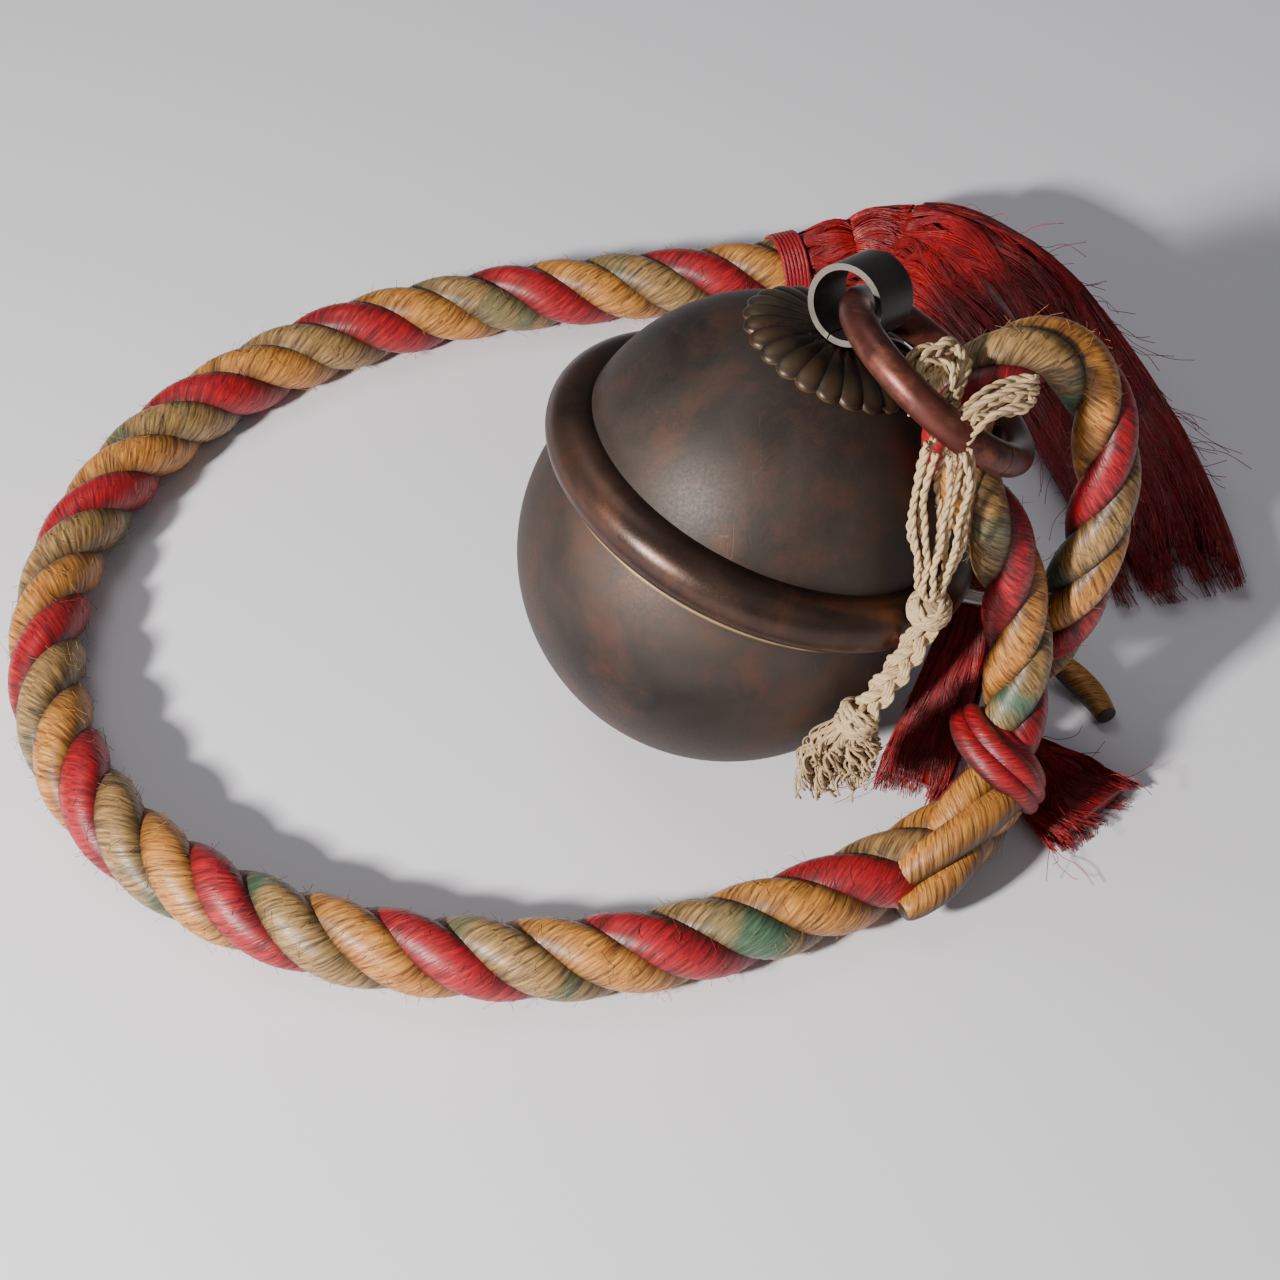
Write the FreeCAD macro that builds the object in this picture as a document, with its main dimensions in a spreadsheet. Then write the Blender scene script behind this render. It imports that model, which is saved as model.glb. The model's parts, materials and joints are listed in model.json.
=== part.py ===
# Shrine bell with its carrying ring, twisted rope, hemp lashing and two fibre tassels.
# Millimetres, +Z up. The bell leans on its round bottom beside the laid rope, and the
# origin is the point of the lower shell that touches the ground.
import FreeCAD, Part
import Sketcher
import math
import os
from FreeCAD import Placement, Rotation, Vector

doc = FreeCAD.newDocument("shrine_bell")
sheet = doc.addObject("Spreadsheet::Sheet", "Size")

DIMENSIONS = [
    # bell shells
    ("body_radius", 85.0),
    ("dome_inset", 6.7),
    ("dome_radius", "=body_radius - dome_inset"),
    ("dome_rise", 33.6),
    ("wall", 2.0),
    ("joint_height", 35.0),
    ("flange_reach", 2.0),
    ("flange_radius", "=body_radius + flange_reach"),
    ("flange_thickness", 2.0),
    ("band_inset", 5.5),
    ("band_radius", "=body_radius - band_inset"),
    ("band_section", 11.8),
    ("band_lift", 0.5),
    # sound slot in the bottom
    ("slot_width", 10.0),
    ("slot_hole_radius", 10.5),
    ("slot_hole_angle", 33.0),
    # crown
    ("rosette_radius", 37.3),
    ("rosette_thickness", 3.2),
    ("rosette_groove", 1.1),
    ("eye_radius", 16.0),
    ("eye_strip", 2.5),
    ("eye_width", 24.0),
    ("eye_lift", 16.3),
    ("eye_height", "=dome_rise + dome_radius + eye_lift"),
    ("eye_turn", 51.1),
    ("tail_width", 14.0),
    ("tail_foot", 9.0),
    ("tail_slit", 0.5),
    ("washer_radius", 18.0),
    ("washer_thickness", 2.4),
    ("fit_clearance", 0.3),
    # carrying ring
    ("ring_radius", 41.0),
    ("ring_rod", 6.6),
    ("ring_reach", 42.9),
    ("ring_swing", 100.7),
    ("ring_twist", 17.7),
    ("ring_seam", 0.4),
    ("seam_depth", 0.6),
    # loose striker
    ("pellet_radius", 13.5),
    # how the bell leans
    ("lean", 22.9),
    ("lean_heading", 17.2),
    # rope and lashings
    ("rope_diameter", 33.0),
    ("eye_rope_diameter", 27.0),
    ("strand_diameter", 14.0),
    ("tail_strand_diameter", 12.0),
    ("hemp_cord", 4.4),
    ("hitch_wall", 4.4),
    ("thread_wall", 1.6),
    ("ground_gap", 0.2),
]
PETALS = 24
HEMP_CORDS = 6

for row, (alias, value) in enumerate(DIMENSIONS, start=1):
    sheet.set("A%d" % row, alias)
    sheet.set("B%d" % row, str(value))
    sheet.setAlias("B%d" % row, alias)
doc.recompute()
size = {alias: float(sheet.get(alias)) for alias, _ in DIMENSIONS}

# ---------------------------------------------------------------- helpers
def primitive(kind, name, place=None, **sizes):
    """A Part primitive whose sizes are bound to cells of the sheet."""
    item = doc.addObject("Part::" + kind, name)
    for prop, formula in sizes.items():
        item.setExpression(prop, formula)
    if place is not None:
        item.Placement = place
    return item


def join(name, *pieces):
    item = doc.addObject("Part::MultiFuse", name)
    item.Shapes = list(pieces)
    return item


def cut(name, base, tool):
    item = doc.addObject("Part::Cut", name)
    item.Base = base
    item.Tool = tool
    return item


def at(x=0.0, y=0.0, z=0.0, axis=(0, 0, 1), angle=0.0):
    return Placement(Vector(x, y, z), Rotation(Vector(*axis), angle))


NODES = []


def keep(item, label, place=None):
    """Names a finished sub-part and stands it where it belongs."""
    item.Label = label
    if place is not None:
        item.Placement = place
    NODES.append(item)
    return item


# ------------------------------------------------- where the pieces stand
heading = math.radians(size["lean_heading"])
lean_axis = Vector(-math.sin(heading), math.cos(heading), 0)
bell_place = Placement(Vector(0, 0, size["body_radius"]), Rotation(lean_axis, size["lean"]))
bell_axis = bell_place.Rotation.multVec(Vector(0, 0, 1))

eye_turn = math.radians(size["eye_turn"])
eye_axis_in_bell = Vector(math.cos(eye_turn), math.sin(eye_turn), 0)
eye_axis = bell_place.Rotation.multVec(eye_axis_in_bell)
eye_centre = bell_place.multVec(Vector(0, 0, size["eye_height"]))

ring_out = Rotation(eye_axis, size["ring_swing"]).multVec(bell_axis)
ring_across = Rotation(ring_out, -size["ring_twist"]).multVec(eye_axis)
ring_normal = ring_out.cross(ring_across)
ring_centre = eye_centre + ring_out * size["ring_reach"]
ring_frame = Placement(ring_centre, Rotation(ring_out, ring_across, ring_normal, "ZXY"))

# ------------------------------------------------------------- bell shells
def sphere_segment(name, radius, height, low, high):
    """A ball cut off level at two latitudes, both in degrees."""
    ball = primitive("Sphere", name, Radius=radius)
    ball.setExpression("Angle1", low)
    ball.setExpression("Angle2", high)
    ball.setExpression("Placement.Base.z", height)
    return ball


def flange(name, bottom, inner):
    """The flat rim that the band clasps."""
    disc = primitive("Cylinder", name + "_disc", Radius="Size.flange_radius",
                     Height="Size.flange_thickness")
    disc.setExpression("Placement.Base.z", bottom)
    bore = primitive("Cylinder", name + "_bore", Radius=inner, Height="Size.flange_thickness")
    bore.setExpression("Placement.Base.z", bottom)
    return cut(name, disc, bore)


LOW_JOINT = "asin(Size.joint_height / Size.body_radius)"
lower_ball = sphere_segment("lower_ball", "Size.body_radius", "0", "-90", LOW_JOINT)
lower_hollow = sphere_segment("lower_hollow", "Size.body_radius - Size.wall", "0",
                              "-90", "90")
lower_cup = cut("lower_cup", lower_ball, lower_hollow)
lower_flange = flange("lower_flange", "Size.joint_height - Size.flange_thickness",
                      "sqrt((Size.body_radius - Size.wall)^2 - Size.joint_height^2)")
lower_whole = join("lower_whole", lower_cup, lower_flange)

slot_length = 2 * size["body_radius"] * math.sin(math.radians(size["slot_hole_angle"]))
slot_bar = primitive("Box", "slot_bar", Length="Size.slot_width", Height="Size.body_radius")
slot_bar.Width = slot_length
slot_bar.Placement = at(-size["slot_width"] / 2, -slot_length / 2, -1.5 * size["body_radius"])
slot_cutters = [slot_bar]
for side in (-1, 1):
    drill = primitive("Cylinder", "slot_drill", Radius="Size.slot_hole_radius",
                      Height="Size.body_radius")
    tilt = Rotation(Vector(1, 0, 0), 180 + side * size["slot_hole_angle"])
    reach = tilt.multVec(Vector(0, 0, 0.6 * size["body_radius"]))
    drill.Placement = Placement(reach, tilt)
    slot_cutters.append(drill)
slot_tool = join("slot_tool", *slot_cutters)
keep(cut("lower_shell_solid", lower_whole, slot_tool), "lower_shell", bell_place)

UP_JOINT = "asin((Size.joint_height - Size.dome_rise) / Size.dome_radius)"
upper_ball = sphere_segment("upper_ball", "Size.dome_radius", "Size.dome_rise", UP_JOINT,
                            "90")
upper_hollow = sphere_segment("upper_hollow", "Size.dome_radius - Size.wall",
                              "Size.dome_rise", "-90", "90")
upper_cup = cut("upper_cup", upper_ball, upper_hollow)
upper_flange = flange(
    "upper_flange", "Size.joint_height",
    "sqrt((Size.dome_radius - Size.wall)^2 - (Size.joint_height - Size.dome_rise)^2)")
upper_whole = join("upper_whole", upper_cup, upper_flange)

tail_slot_length = size["tail_width"] + 2 * size["fit_clearance"]
tail_slot_width = 2 * size["eye_strip"] + size["tail_slit"] + 2 * size["fit_clearance"]


def tail_slot(name):
    """The slot that the eye's two tails pass through, in a piece near the crown."""
    slot = primitive("Box", name, Height="Size.body_radius")
    slot.Length = tail_slot_length
    slot.Width = tail_slot_width
    turn = Rotation(Vector(0, 0, 1), size["eye_turn"])
    corner = turn.multVec(Vector(-tail_slot_length / 2, -tail_slot_width / 2, 0))
    slot.Placement = Placement(corner + Vector(0, 0, size["body_radius"] * 0.9), turn)
    return slot


keep(cut("upper_shell_solid", upper_whole, tail_slot("dome_slot")), "upper_shell", bell_place)

# A half-round band hides and holds the joint: a ring less what both shells fill.
band_ring = primitive("Torus", "band_ring", Radius1="Size.band_radius",
                      Radius2="Size.band_section")
band_ring.setExpression("Placement.Base.z", "Size.joint_height + Size.band_lift")
band_low = sphere_segment("band_low", "Size.body_radius", "0", "-90", "90")
band_high = sphere_segment("band_high", "Size.dome_radius", "Size.dome_rise", "-90",
                           "90")
band_seat = primitive("Cylinder", "band_seat", Radius="Size.flange_radius",
                      Height="2 * Size.flange_thickness")
band_seat.setExpression("Placement.Base.z", "Size.joint_height - Size.flange_thickness")
band_tool = join("band_tool", band_low, band_high, band_seat)
keep(cut("waist_band_solid", band_ring, band_tool), "waist_band", bell_place)

# ------------------------------------------------------------------ crown
rosette_cap = sphere_segment("rosette_cap", "Size.dome_radius + Size.rosette_thickness",
                             "Size.dome_rise", "30", "90")
rosette_rim = primitive("Cylinder", "rosette_rim", Radius="Size.rosette_radius",
                        Height="2 * Size.dome_radius")
rosette_disc = doc.addObject("Part::Common", "rosette_disc")
rosette_disc.Base = rosette_cap
rosette_disc.Tool = rosette_rim
rosette_under = sphere_segment("rosette_under", "Size.dome_radius", "Size.dome_rise",
                               "-90", "90")
rosette_sheet = cut("rosette_sheet", rosette_disc, rosette_under)
groove_reach = size["dome_radius"] + size["rosette_thickness"]
grooves = []
for petal in range(PETALS):
    groove = primitive("Cylinder", "petal_groove", Radius="Size.rosette_groove",
                       Height="Size.rosette_radius")
    rim_angle = math.asin(size["rosette_radius"] / groove_reach)
    around = Rotation(Vector(0, 0, 1), petal * 360.0 / PETALS)
    start = Vector(groove_reach * math.sin(rim_angle) * 1.05, 0,
                   size["dome_rise"] + groove_reach * math.cos(rim_angle) * 0.995)
    slope = Rotation(Vector(0, 1, 0), -90 + math.degrees(rim_angle) * 0.62)
    groove.Placement = Placement(around.multVec(start), around.multiply(slope))
    grooves.append(groove)
eye_seat = primitive("Cylinder", "eye_seat", Radius="Size.eye_radius + Size.fit_clearance",
                     Height="2 * Size.rosette_radius")
eye_seat.Placement = Placement(
    Vector(0, 0, size["eye_height"]) - eye_axis_in_bell * size["rosette_radius"],
    Rotation(Vector(0, 0, 1), size["eye_turn"]).multiply(Rotation(Vector(0, 1, 0), 90)))
groove_tool = join("groove_tool", tail_slot("rosette_slot"), eye_seat, *grooves)
keep(cut("crown_rosette_solid", rosette_sheet, groove_tool), "crown_rosette", bell_place)

# The eye is one strip rolled round, its two tails passed through the crown and bent out.
washer_top = size["dome_rise"] + math.sqrt(
    (size["dome_radius"] - size["wall"]) ** 2 - size["washer_radius"] ** 2)
washer_bottom = washer_top - size["washer_thickness"]
roll = Rotation(Vector(0, 0, 1), size["eye_turn"]).multiply(Rotation(Vector(0, 1, 0), 90))
roll_start = Vector(0, 0, size["eye_height"]) - eye_axis_in_bell * (size["eye_width"] / 2)
roll_place = Placement(roll_start, roll)
eye_outside = primitive("Cylinder", "eye_outside", roll_place, Radius="Size.eye_radius",
                        Height="Size.eye_width")
eye_inside = primitive("Cylinder", "eye_inside", roll_place,
                       Radius="Size.eye_radius - Size.eye_strip", Height="Size.eye_width")


def across_box(name, length, width, low, high):
    """A box centred on the bell's axis, its length along the eye's bore."""
    box = doc.addObject("Part::Box", name)
    box.Length = length
    box.Width = width
    box.Height = high - low
    turn = Rotation(Vector(0, 0, 1), size["eye_turn"])
    corner = turn.multVec(Vector(-length / 2, -width / 2, 0))
    box.Placement = Placement(corner + Vector(0, 0, low), turn)
    return box


tail_pair = 2 * size["eye_strip"] + size["tail_slit"]
eye_bottom = size["eye_height"] - size["eye_radius"] + size["eye_strip"] / 2
tails = across_box("eye_tails", size["tail_width"], tail_pair,
                   washer_bottom - size["eye_strip"], eye_bottom)
feet = across_box("eye_feet", size["tail_width"], tail_pair + 2 * size["tail_foot"],
                  washer_bottom - size["eye_strip"], washer_bottom)
eye_body = join("eye_body", eye_outside, tails, feet)
eye_slit = across_box("eye_slit", size["eye_width"], size["tail_slit"],
                      washer_bottom - size["eye_strip"] / 2, size["eye_height"])
eye_tool = join("eye_tool", eye_inside, eye_slit)
keep(cut("hanging_eye_solid", eye_body, eye_tool), "hanging_eye", bell_place)

washer_body = doc.addObject("PartDesign::Body", "inner_washer")
washer_plane = [f for f in washer_body.Origin.OriginFeatures if f.Role == "XY_Plane"][0]
outline = washer_body.newObject("Sketcher::SketchObject", "washer_outline")
outline.AttachmentSupport = [(washer_plane, "")]
outline.MapMode = "FlatFace"
outline.addGeometry(Part.Circle(Vector(0, 0, 0), Vector(0, 0, 1), size["washer_radius"]))
outline.addConstraint(Sketcher.Constraint("Coincident", 0, 3, -1, 1))
outline.addConstraint(Sketcher.Constraint("Radius", 0, size["washer_radius"]))
outline.renameConstraint(1, "rim")
outline.setExpression("Constraints.rim", "Size.washer_radius")
corners = [Vector(sx * tail_slot_length / 2, sy * tail_slot_width / 2, 0)
           for sx, sy in ((-1, -1), (1, -1), (1, 1), (-1, 1))]
for start, end in zip(corners, corners[1:] + corners[:1]):
    outline.addGeometry(Part.LineSegment(start, end))
for line in range(1, 5):
    following = line + 1 if line < 4 else 1
    outline.addConstraint(Sketcher.Constraint("Coincident", line, 2, following, 1))
washer_pad = washer_body.newObject("PartDesign::Pad", "washer_pad")
washer_pad.Profile = outline
washer_pad.setExpression("Length", "Size.washer_thickness")
washer_turn = Placement(Vector(0, 0, washer_bottom),
                        Rotation(Vector(0, 0, 1), size["eye_turn"]))
keep(washer_body, "inner_washer", bell_place.multiply(washer_turn))

# ------------------------------------------------------------ carrying ring
ring_bar = primitive("Torus", "ring_bar", Radius1="Size.ring_radius", Radius2="Size.ring_rod")
seam_out = primitive("Cylinder", "seam_out", Radius="Size.ring_rod + Size.seam_depth",
                     Height="Size.ring_seam")
seam_in = primitive("Cylinder", "seam_in", Radius="Size.ring_rod - Size.seam_depth",
                    Height="Size.ring_seam")
ring_seam = cut("ring_seam", seam_out, seam_in)
SEAM_ANGLE = -20.0
seam_turn = Rotation(Vector(0, 0, 1), SEAM_ANGLE)
ring_seam.Placement = Placement(seam_turn.multVec(Vector(size["ring_radius"], 0, 0)),
                                seam_turn.multiply(Rotation(Vector(1, 0, 0), 90)))
keep(cut("hanging_ring_solid", ring_bar, ring_seam), "hanging_ring", ring_frame)

pellet_height = size["wall"] + size["fit_clearance"] + size["pellet_radius"]
keep(primitive("Sphere", "pellet_ball", at(0, 0, pellet_height), Radius="Size.pellet_radius"),
     "pellet")

# ------------------------------------------------------------- soft pieces
def soft(label, shape):
    """A plain closed solid for a soft piece."""
    item = doc.addObject("Part::Feature", label)
    item.Shape = shape
    return keep(item, label)


def cord_path(points):
    """Straight runs joined by tangent arcs, each as large as its two runs allow."""
    edges = []
    radii = []
    here = points[0]
    for before, corner, after in zip(points, points[1:], points[2:]):
        run_in = corner - before
        run_out = after - corner
        reach = 0.45 * min(run_in.Length, run_out.Length)
        run_in.normalize()
        run_out.normalize()
        half_turn = run_in.getAngle(run_out) / 2
        radius = reach / math.tan(half_turn)
        start = corner - run_in * reach
        end = corner + run_out * reach
        inward = run_out - run_in
        inward.normalize()
        centre = corner + inward * (radius / math.cos(half_turn))
        middle = centre - inward * radius
        edges.append(Part.LineSegment(here, start).toShape())
        edges.append(Part.Arc(start, middle, end).toShape())
        radii.append(radius)
        here = end
    edges.append(Part.LineSegment(here, points[-1]).toShape())
    return Part.Wire(edges), radii


def cord(label, points, diameter):
    """A cord's tube, with a printed check of its radii and its volume."""
    points = [Vector(*p) for p in points]
    path, radii = cord_path(points)
    first = points[1] - points[0]
    ring = Part.Wire([Part.Circle(points[0], first, diameter / 2).toShape()])
    tube = path.makePipeShell([ring], True, False)
    expected = math.pi * diameter ** 2 / 4 * path.Length
    print("%s: length %.0f, radii %.0f to %.0f, volume ratio %.3f" % (
        label, path.Length, min(radii), max(radii), tube.Volume / expected))
    return tube


def swelling(sections):
    """A closed soft form through upright ovals: centre, half width, half height."""
    places = [Vector(*s[0]) for s in sections]
    wires = []
    for number, (_, half_width, half_height) in enumerate(sections):
        ahead = places[min(number + 1, len(places) - 1)] - places[max(number - 1, 0)]
        ahead.normalize()
        side = Vector(0, 0, 1).cross(ahead)
        side.normalize()
        rise = ahead.cross(side)
        if half_width == half_height:
            oval = Part.Circle(places[number], ahead, half_width)
        elif half_width > half_height:
            oval = Part.Ellipse(places[number] + side * half_width,
                                places[number] + rise * half_height, places[number])
        else:
            oval = Part.Ellipse(places[number] + rise * half_height,
                                places[number] - side * half_width, places[number])
        wires.append(Part.Wire([oval.toShape()]))
    return Part.makeLoft(wires, True, True)


rope_radius = size["rope_diameter"] / 2
LAID = rope_radius + size["ground_gap"]
THROAT = (110, -66, 37)
ROPE_MAIN = [
    THROAT, (106, -77, 23.5), (93, -90, 17.5), (72, -105, LAID), (44, -121, LAID),
    (9, -137, LAID), (-31, -150, LAID), (-75, -155, LAID), (-120, -152, LAID), (-164, -142, LAID),
    (-204, -123, LAID), (-238, -97, LAID), (-265, -62, LAID), (-282, -20, LAID),
    (-289, 25, LAID), (-286, 71, LAID), (-272, 115, LAID), (-249, 155, LAID),
    (-216, 190, LAID), (-175, 218, LAID), (-129, 237, LAID), (-81, 249, LAID),
    (-33, 255, LAID), (12, 261, LAID), (46, 270, LAID),
]
ROPE_EYE = [
    (126, -16, 43), (133, -27, 70), (139, -27, 100), (145, -19, 131), (143, -8, 162),
    (130, -2, 188), (106, -10, 200), (82, -21.5, 186), (84, -34.5, 158), (101, -40, 134.5),
    (109, -39.5, 107), (114, -45, 78), (114, -55, 50.5), THROAT,
]
soft("rope_main", cord("rope_main", ROPE_MAIN, size["rope_diameter"]))
soft("rope_eye", cord("rope_eye", ROPE_EYE, size["eye_rope_diameter"]))

TOWARDS_FRONT = Vector(-0.12, -0.70, 0.70)


def wrapped(centre, along, distance, turns, slides):
    """Route points of a strand laid round a rope: angle and slide along it for each."""
    centre = Vector(*centre)
    along = Vector(*along)
    along.normalize()
    front = TOWARDS_FRONT - along * TOWARDS_FRONT.dot(along)
    front.normalize()
    left = along.cross(front)
    points = []
    for turn, slide in zip(turns, slides):
        angle = math.radians(turn)
        out = front * math.cos(angle) + left * math.sin(angle)
        point = centre + out * distance + along * slide
        points.append((point.x, point.y, point.z))
    return points


strand_out = rope_radius + size["strand_diameter"] / 2 + size["fit_clearance"]
soft("splice_red_strand", cord(
    "splice_red_strand",
    wrapped(THROAT, (-0.28, -0.60, -0.75), strand_out + 0.8, (80, 42, 0, -42, -80),
            (-12, -7, 0, 7, 12)), size["strand_diameter"]))
soft("splice_gold_strand", cord(
    "splice_gold_strand",
    wrapped((84, -95, LAID), (-0.83, -0.56, -0.08), strand_out, (62, 32, 0, -32, -60),
            (-20, -12, -2, 8, 17)), size["strand_diameter"]))
TAIL_LAID = size["tail_strand_diameter"] / 2 + size["ground_gap"]
soft("splice_gold_tail", cord(
    "splice_gold_tail", [(137, 10, 15), (147, 4, 9), (156, -6, TAIL_LAID), (160, -18, TAIL_LAID)],
    size["tail_strand_diameter"]))

# Rope end: a bound head and a long fall of fibre that curls back round the rope's end.
thread_radius = rope_radius + size["thread_wall"] + size["fit_clearance"]
BINDING_LENGTH = 12
ROPE_END_RUN = Vector(34, 9, 0)
binding_bore = Part.makeCylinder(rope_radius + size["fit_clearance"], 80,
                                 Vector(1, 257.8, LAID), ROPE_END_RUN)
binding_coil = Part.makeCylinder(
    thread_radius, BINDING_LENGTH,
    Vector(30, 265.5, thread_radius + size["ground_gap"] / 2), ROPE_END_RUN)
soft("tassel_binding", binding_coil.cut(binding_bore))
soft("rope_tassel_head", swelling([
    ((47, 270.3, 20), 14, 14), ((60, 274, 20.5), 19, 18), ((78, 277, 22), 22, 20),
    ((98, 275, 23), 23, 21)]))
soft("rope_tassel_skirt", swelling([
    ((99, 274.8, 23), 23, 21), ((119, 259, 25.5), 29, 24), ((138, 235, 26), 32, 24.5),
    ((155, 204, 25), 32, 23), ((171, 166, 22), 32, 20), ((184, 126, 19), 31, 17),
    ((194, 86, 15), 30, 13), ((202, 50, 10), 28, 8)]))

# Small tassel: tied at its neck with thread, its fibres falling beside and under the rope.
soft("small_tassel_head", swelling([
    ((105, -1, 82), 5, 5), ((104, -3, 77), 8.5, 8), ((100.6, -5, 71.6), 6.5, 6)]))
NECK_RADIUS = 7.4
NECK_LENGTH = 5
soft("small_tassel_thread", Part.makeCylinder(NECK_RADIUS, NECK_LENGTH, Vector(100, -6, 69.5),
                                              Vector(-5, -12, -20)))
soft("small_tassel_skirt", swelling([
    ((98.6, -9.4, 63.8), 7, 6), ((95, -22, 48), 12, 8), ((87, -38, 30), 14, 9),
    ((79, -52, 16), 15, 8), ((73, -64, 7.5), 14, 5)]))
soft("small_tassel_spread", swelling([
    ((112, -34, 7), 10, 6.5), ((126, -48, 7), 17, 6.5), ((140, -62, 6.5), 23, 6),
    ((153, -76, 5.5), 26, 5)]))

# ---------------------------------------------------------------- lashing
hitch_tube = Part.makeTorus(size["ring_radius"], size["ring_rod"] + size["hitch_wall"],
                            Vector(0, 0, 0), Vector(0, 0, 1))
hitch_bore = Part.makeTorus(size["ring_radius"], size["ring_rod"] + 0.05,
                            Vector(0, 0, 0), Vector(0, 0, 1))
HITCH_START = -80.0
HITCH_ARC = 30.0
wedge = Part.makeCylinder(2 * size["ring_radius"], 40, Vector(0, 0, -20), Vector(0, 0, 1),
                          HITCH_ARC)
wedge.Placement = Placement(Vector(0, 0, -20), Rotation(Vector(0, 0, 1), HITCH_START))
hitch = hitch_tube.cut(hitch_bore).common(wedge)
hitch.Placement = ring_frame
soft("hemp_ring_hitch", hitch)
soft("hemp_lobes", Part.makeCompound([
    swelling([((66, -34, 211), 5, 5), ((70, -29, 214), 8, 8), ((77, -24, 214), 8, 8),
              ((82, -21, 212), 5, 5)]),
    swelling([((86, -44, 202), 5, 5), ((92, -41, 205), 8, 7), ((101, -38, 206), 8, 7),
              ((108, -36, 205), 5, 5)])]))

hang_top = Vector(76, -60, 184)
hang_foot = Vector(74, -67, 131.5)
hanging = []
for number in range(HEMP_CORDS):
    angle = 2 * math.pi * number / HEMP_CORDS
    spread = Vector(math.cos(angle), math.sin(angle) * 0.5, 0)
    top = hang_top + spread * 9
    foot = hang_foot + spread * 6
    hanging.append(Part.makeCylinder(size["hemp_cord"] / 2, (foot - top).Length, top, foot - top))
soft("hemp_hanging_cords", Part.makeCompound(hanging))
soft("hemp_upper_knot", Part.makeSphere(9.5, Vector(73.6, -69, 121.5)))
soft("hemp_braid", swelling([
    ((71, -73, 113), 5.5, 5), ((65.5, -77.5, 104), 6, 5.5), ((59, -81, 94), 6, 5.5),
    ((53.5, -83.5, 85.5), 5, 5)]))
soft("hemp_lower_knot", Part.makeSphere(9.5, Vector(48, -84, 77)))
soft("hemp_frayed_end", swelling([
    ((47.5, -86, 67.3), 10, 8), ((47, -87, 60), 15, 9), ((46, -87.5, 50), 16, 9),
    ((45, -88, 42), 13, 8)]))

# ------------------------------------------------------------ check, write
doc.recompute()
for item in doc.Objects:
    if "Invalid" in item.State or "Error" in item.State:
        raise RuntimeError("%s failed to build" % item.Label)
os.makedirs("parts", exist_ok=True)
for item in NODES:
    shape = item.Shape
    if shape.isNull() or not shape.isValid():
        raise RuntimeError("%s has no valid shape" % item.Label)
    shape.exportStep("parts/%s.step" % item.Label)
    print("%-22s solids %d volume %.0f" % (item.Label, len(shape.Solids), shape.Volume))
print("eye centre", [round(v, 3) for v in eye_centre], "eye axis",
      [round(v, 5) for v in eye_axis], "ring centre", [round(v, 3) for v in ring_centre],
      "ring normal", [round(v, 5) for v in ring_normal])
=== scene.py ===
# %% [markdown]
# # A shrine bell on its twisted rope
# The bell is a round slit bell of patinated copper alloy: two shells joined under a waist
# band, a petalled crown, a rolled eye and a copper ring. A fat three-strand rope is spliced
# through the ring, hemp cords are lashed round it, and red fibre tassels hang from it.
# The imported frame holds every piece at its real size; this lesson gives each its looks.

import json
import math

import bpy
import numpy as np
from mathutils import Matrix, Vector


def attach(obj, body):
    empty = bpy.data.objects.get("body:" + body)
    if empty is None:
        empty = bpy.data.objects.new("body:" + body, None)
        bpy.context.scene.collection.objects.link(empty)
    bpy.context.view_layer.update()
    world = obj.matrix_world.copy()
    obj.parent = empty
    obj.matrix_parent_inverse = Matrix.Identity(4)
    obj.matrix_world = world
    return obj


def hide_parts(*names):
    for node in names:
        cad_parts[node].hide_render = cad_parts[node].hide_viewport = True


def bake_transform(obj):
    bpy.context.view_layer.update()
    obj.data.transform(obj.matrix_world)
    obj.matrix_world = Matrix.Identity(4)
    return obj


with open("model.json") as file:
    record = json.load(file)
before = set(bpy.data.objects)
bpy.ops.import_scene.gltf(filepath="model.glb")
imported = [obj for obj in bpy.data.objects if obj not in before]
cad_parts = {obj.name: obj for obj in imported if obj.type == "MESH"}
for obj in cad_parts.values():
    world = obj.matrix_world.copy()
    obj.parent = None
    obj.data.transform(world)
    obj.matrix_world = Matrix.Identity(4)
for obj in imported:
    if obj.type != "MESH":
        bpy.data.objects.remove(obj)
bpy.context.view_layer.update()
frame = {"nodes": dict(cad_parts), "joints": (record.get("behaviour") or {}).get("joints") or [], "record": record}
bpy.ops.object.select_all(action="DESELECT")
MM = 0.001

# %% [markdown]
# ## Where things are
# The joints say where the bell's centre and its eye are, so the bell's own axis and the
# direction of the eye's bore follow from the frame and are never typed in again.

# %% Directions of the bell
joints = {joint["name"]: joint for joint in frame["joints"]}
mounts = {mount["name"]: mount for mount in frame["record"]["mounts"]}
bell_centre = Vector(joints["pellet_roll"]["pos_m"])
eye_centre = Vector(joints["ring_swing"]["pos_m"])
bell_axis = (eye_centre - bell_centre).normalized()
eye_axis = -Vector(joints["ring_swing"]["axis"]).normalized()
eye_across = bell_axis.cross(eye_axis)
ring_centre = Vector(mounts["ring_grip"]["pos_m"])
ring_normal = Vector(mounts["ring_grip"]["axis"]).normalized()
BELL = Matrix((eye_axis, eye_across, bell_axis)).transposed().to_4x4()
BELL.translation = bell_centre
print("bell leans", round(math.degrees(math.acos(bell_axis.z)), 1), "degrees")

# %% [markdown]
# ## Camera, light and floor
# The bell is looked down on from the front at 46 degrees through a long lens. One soft key
# light from the front left throws its shadow back to the right, two wide weak lights, one
# from above and one from the right, open the dark side, and the floor is a plain pale sheet.

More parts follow.
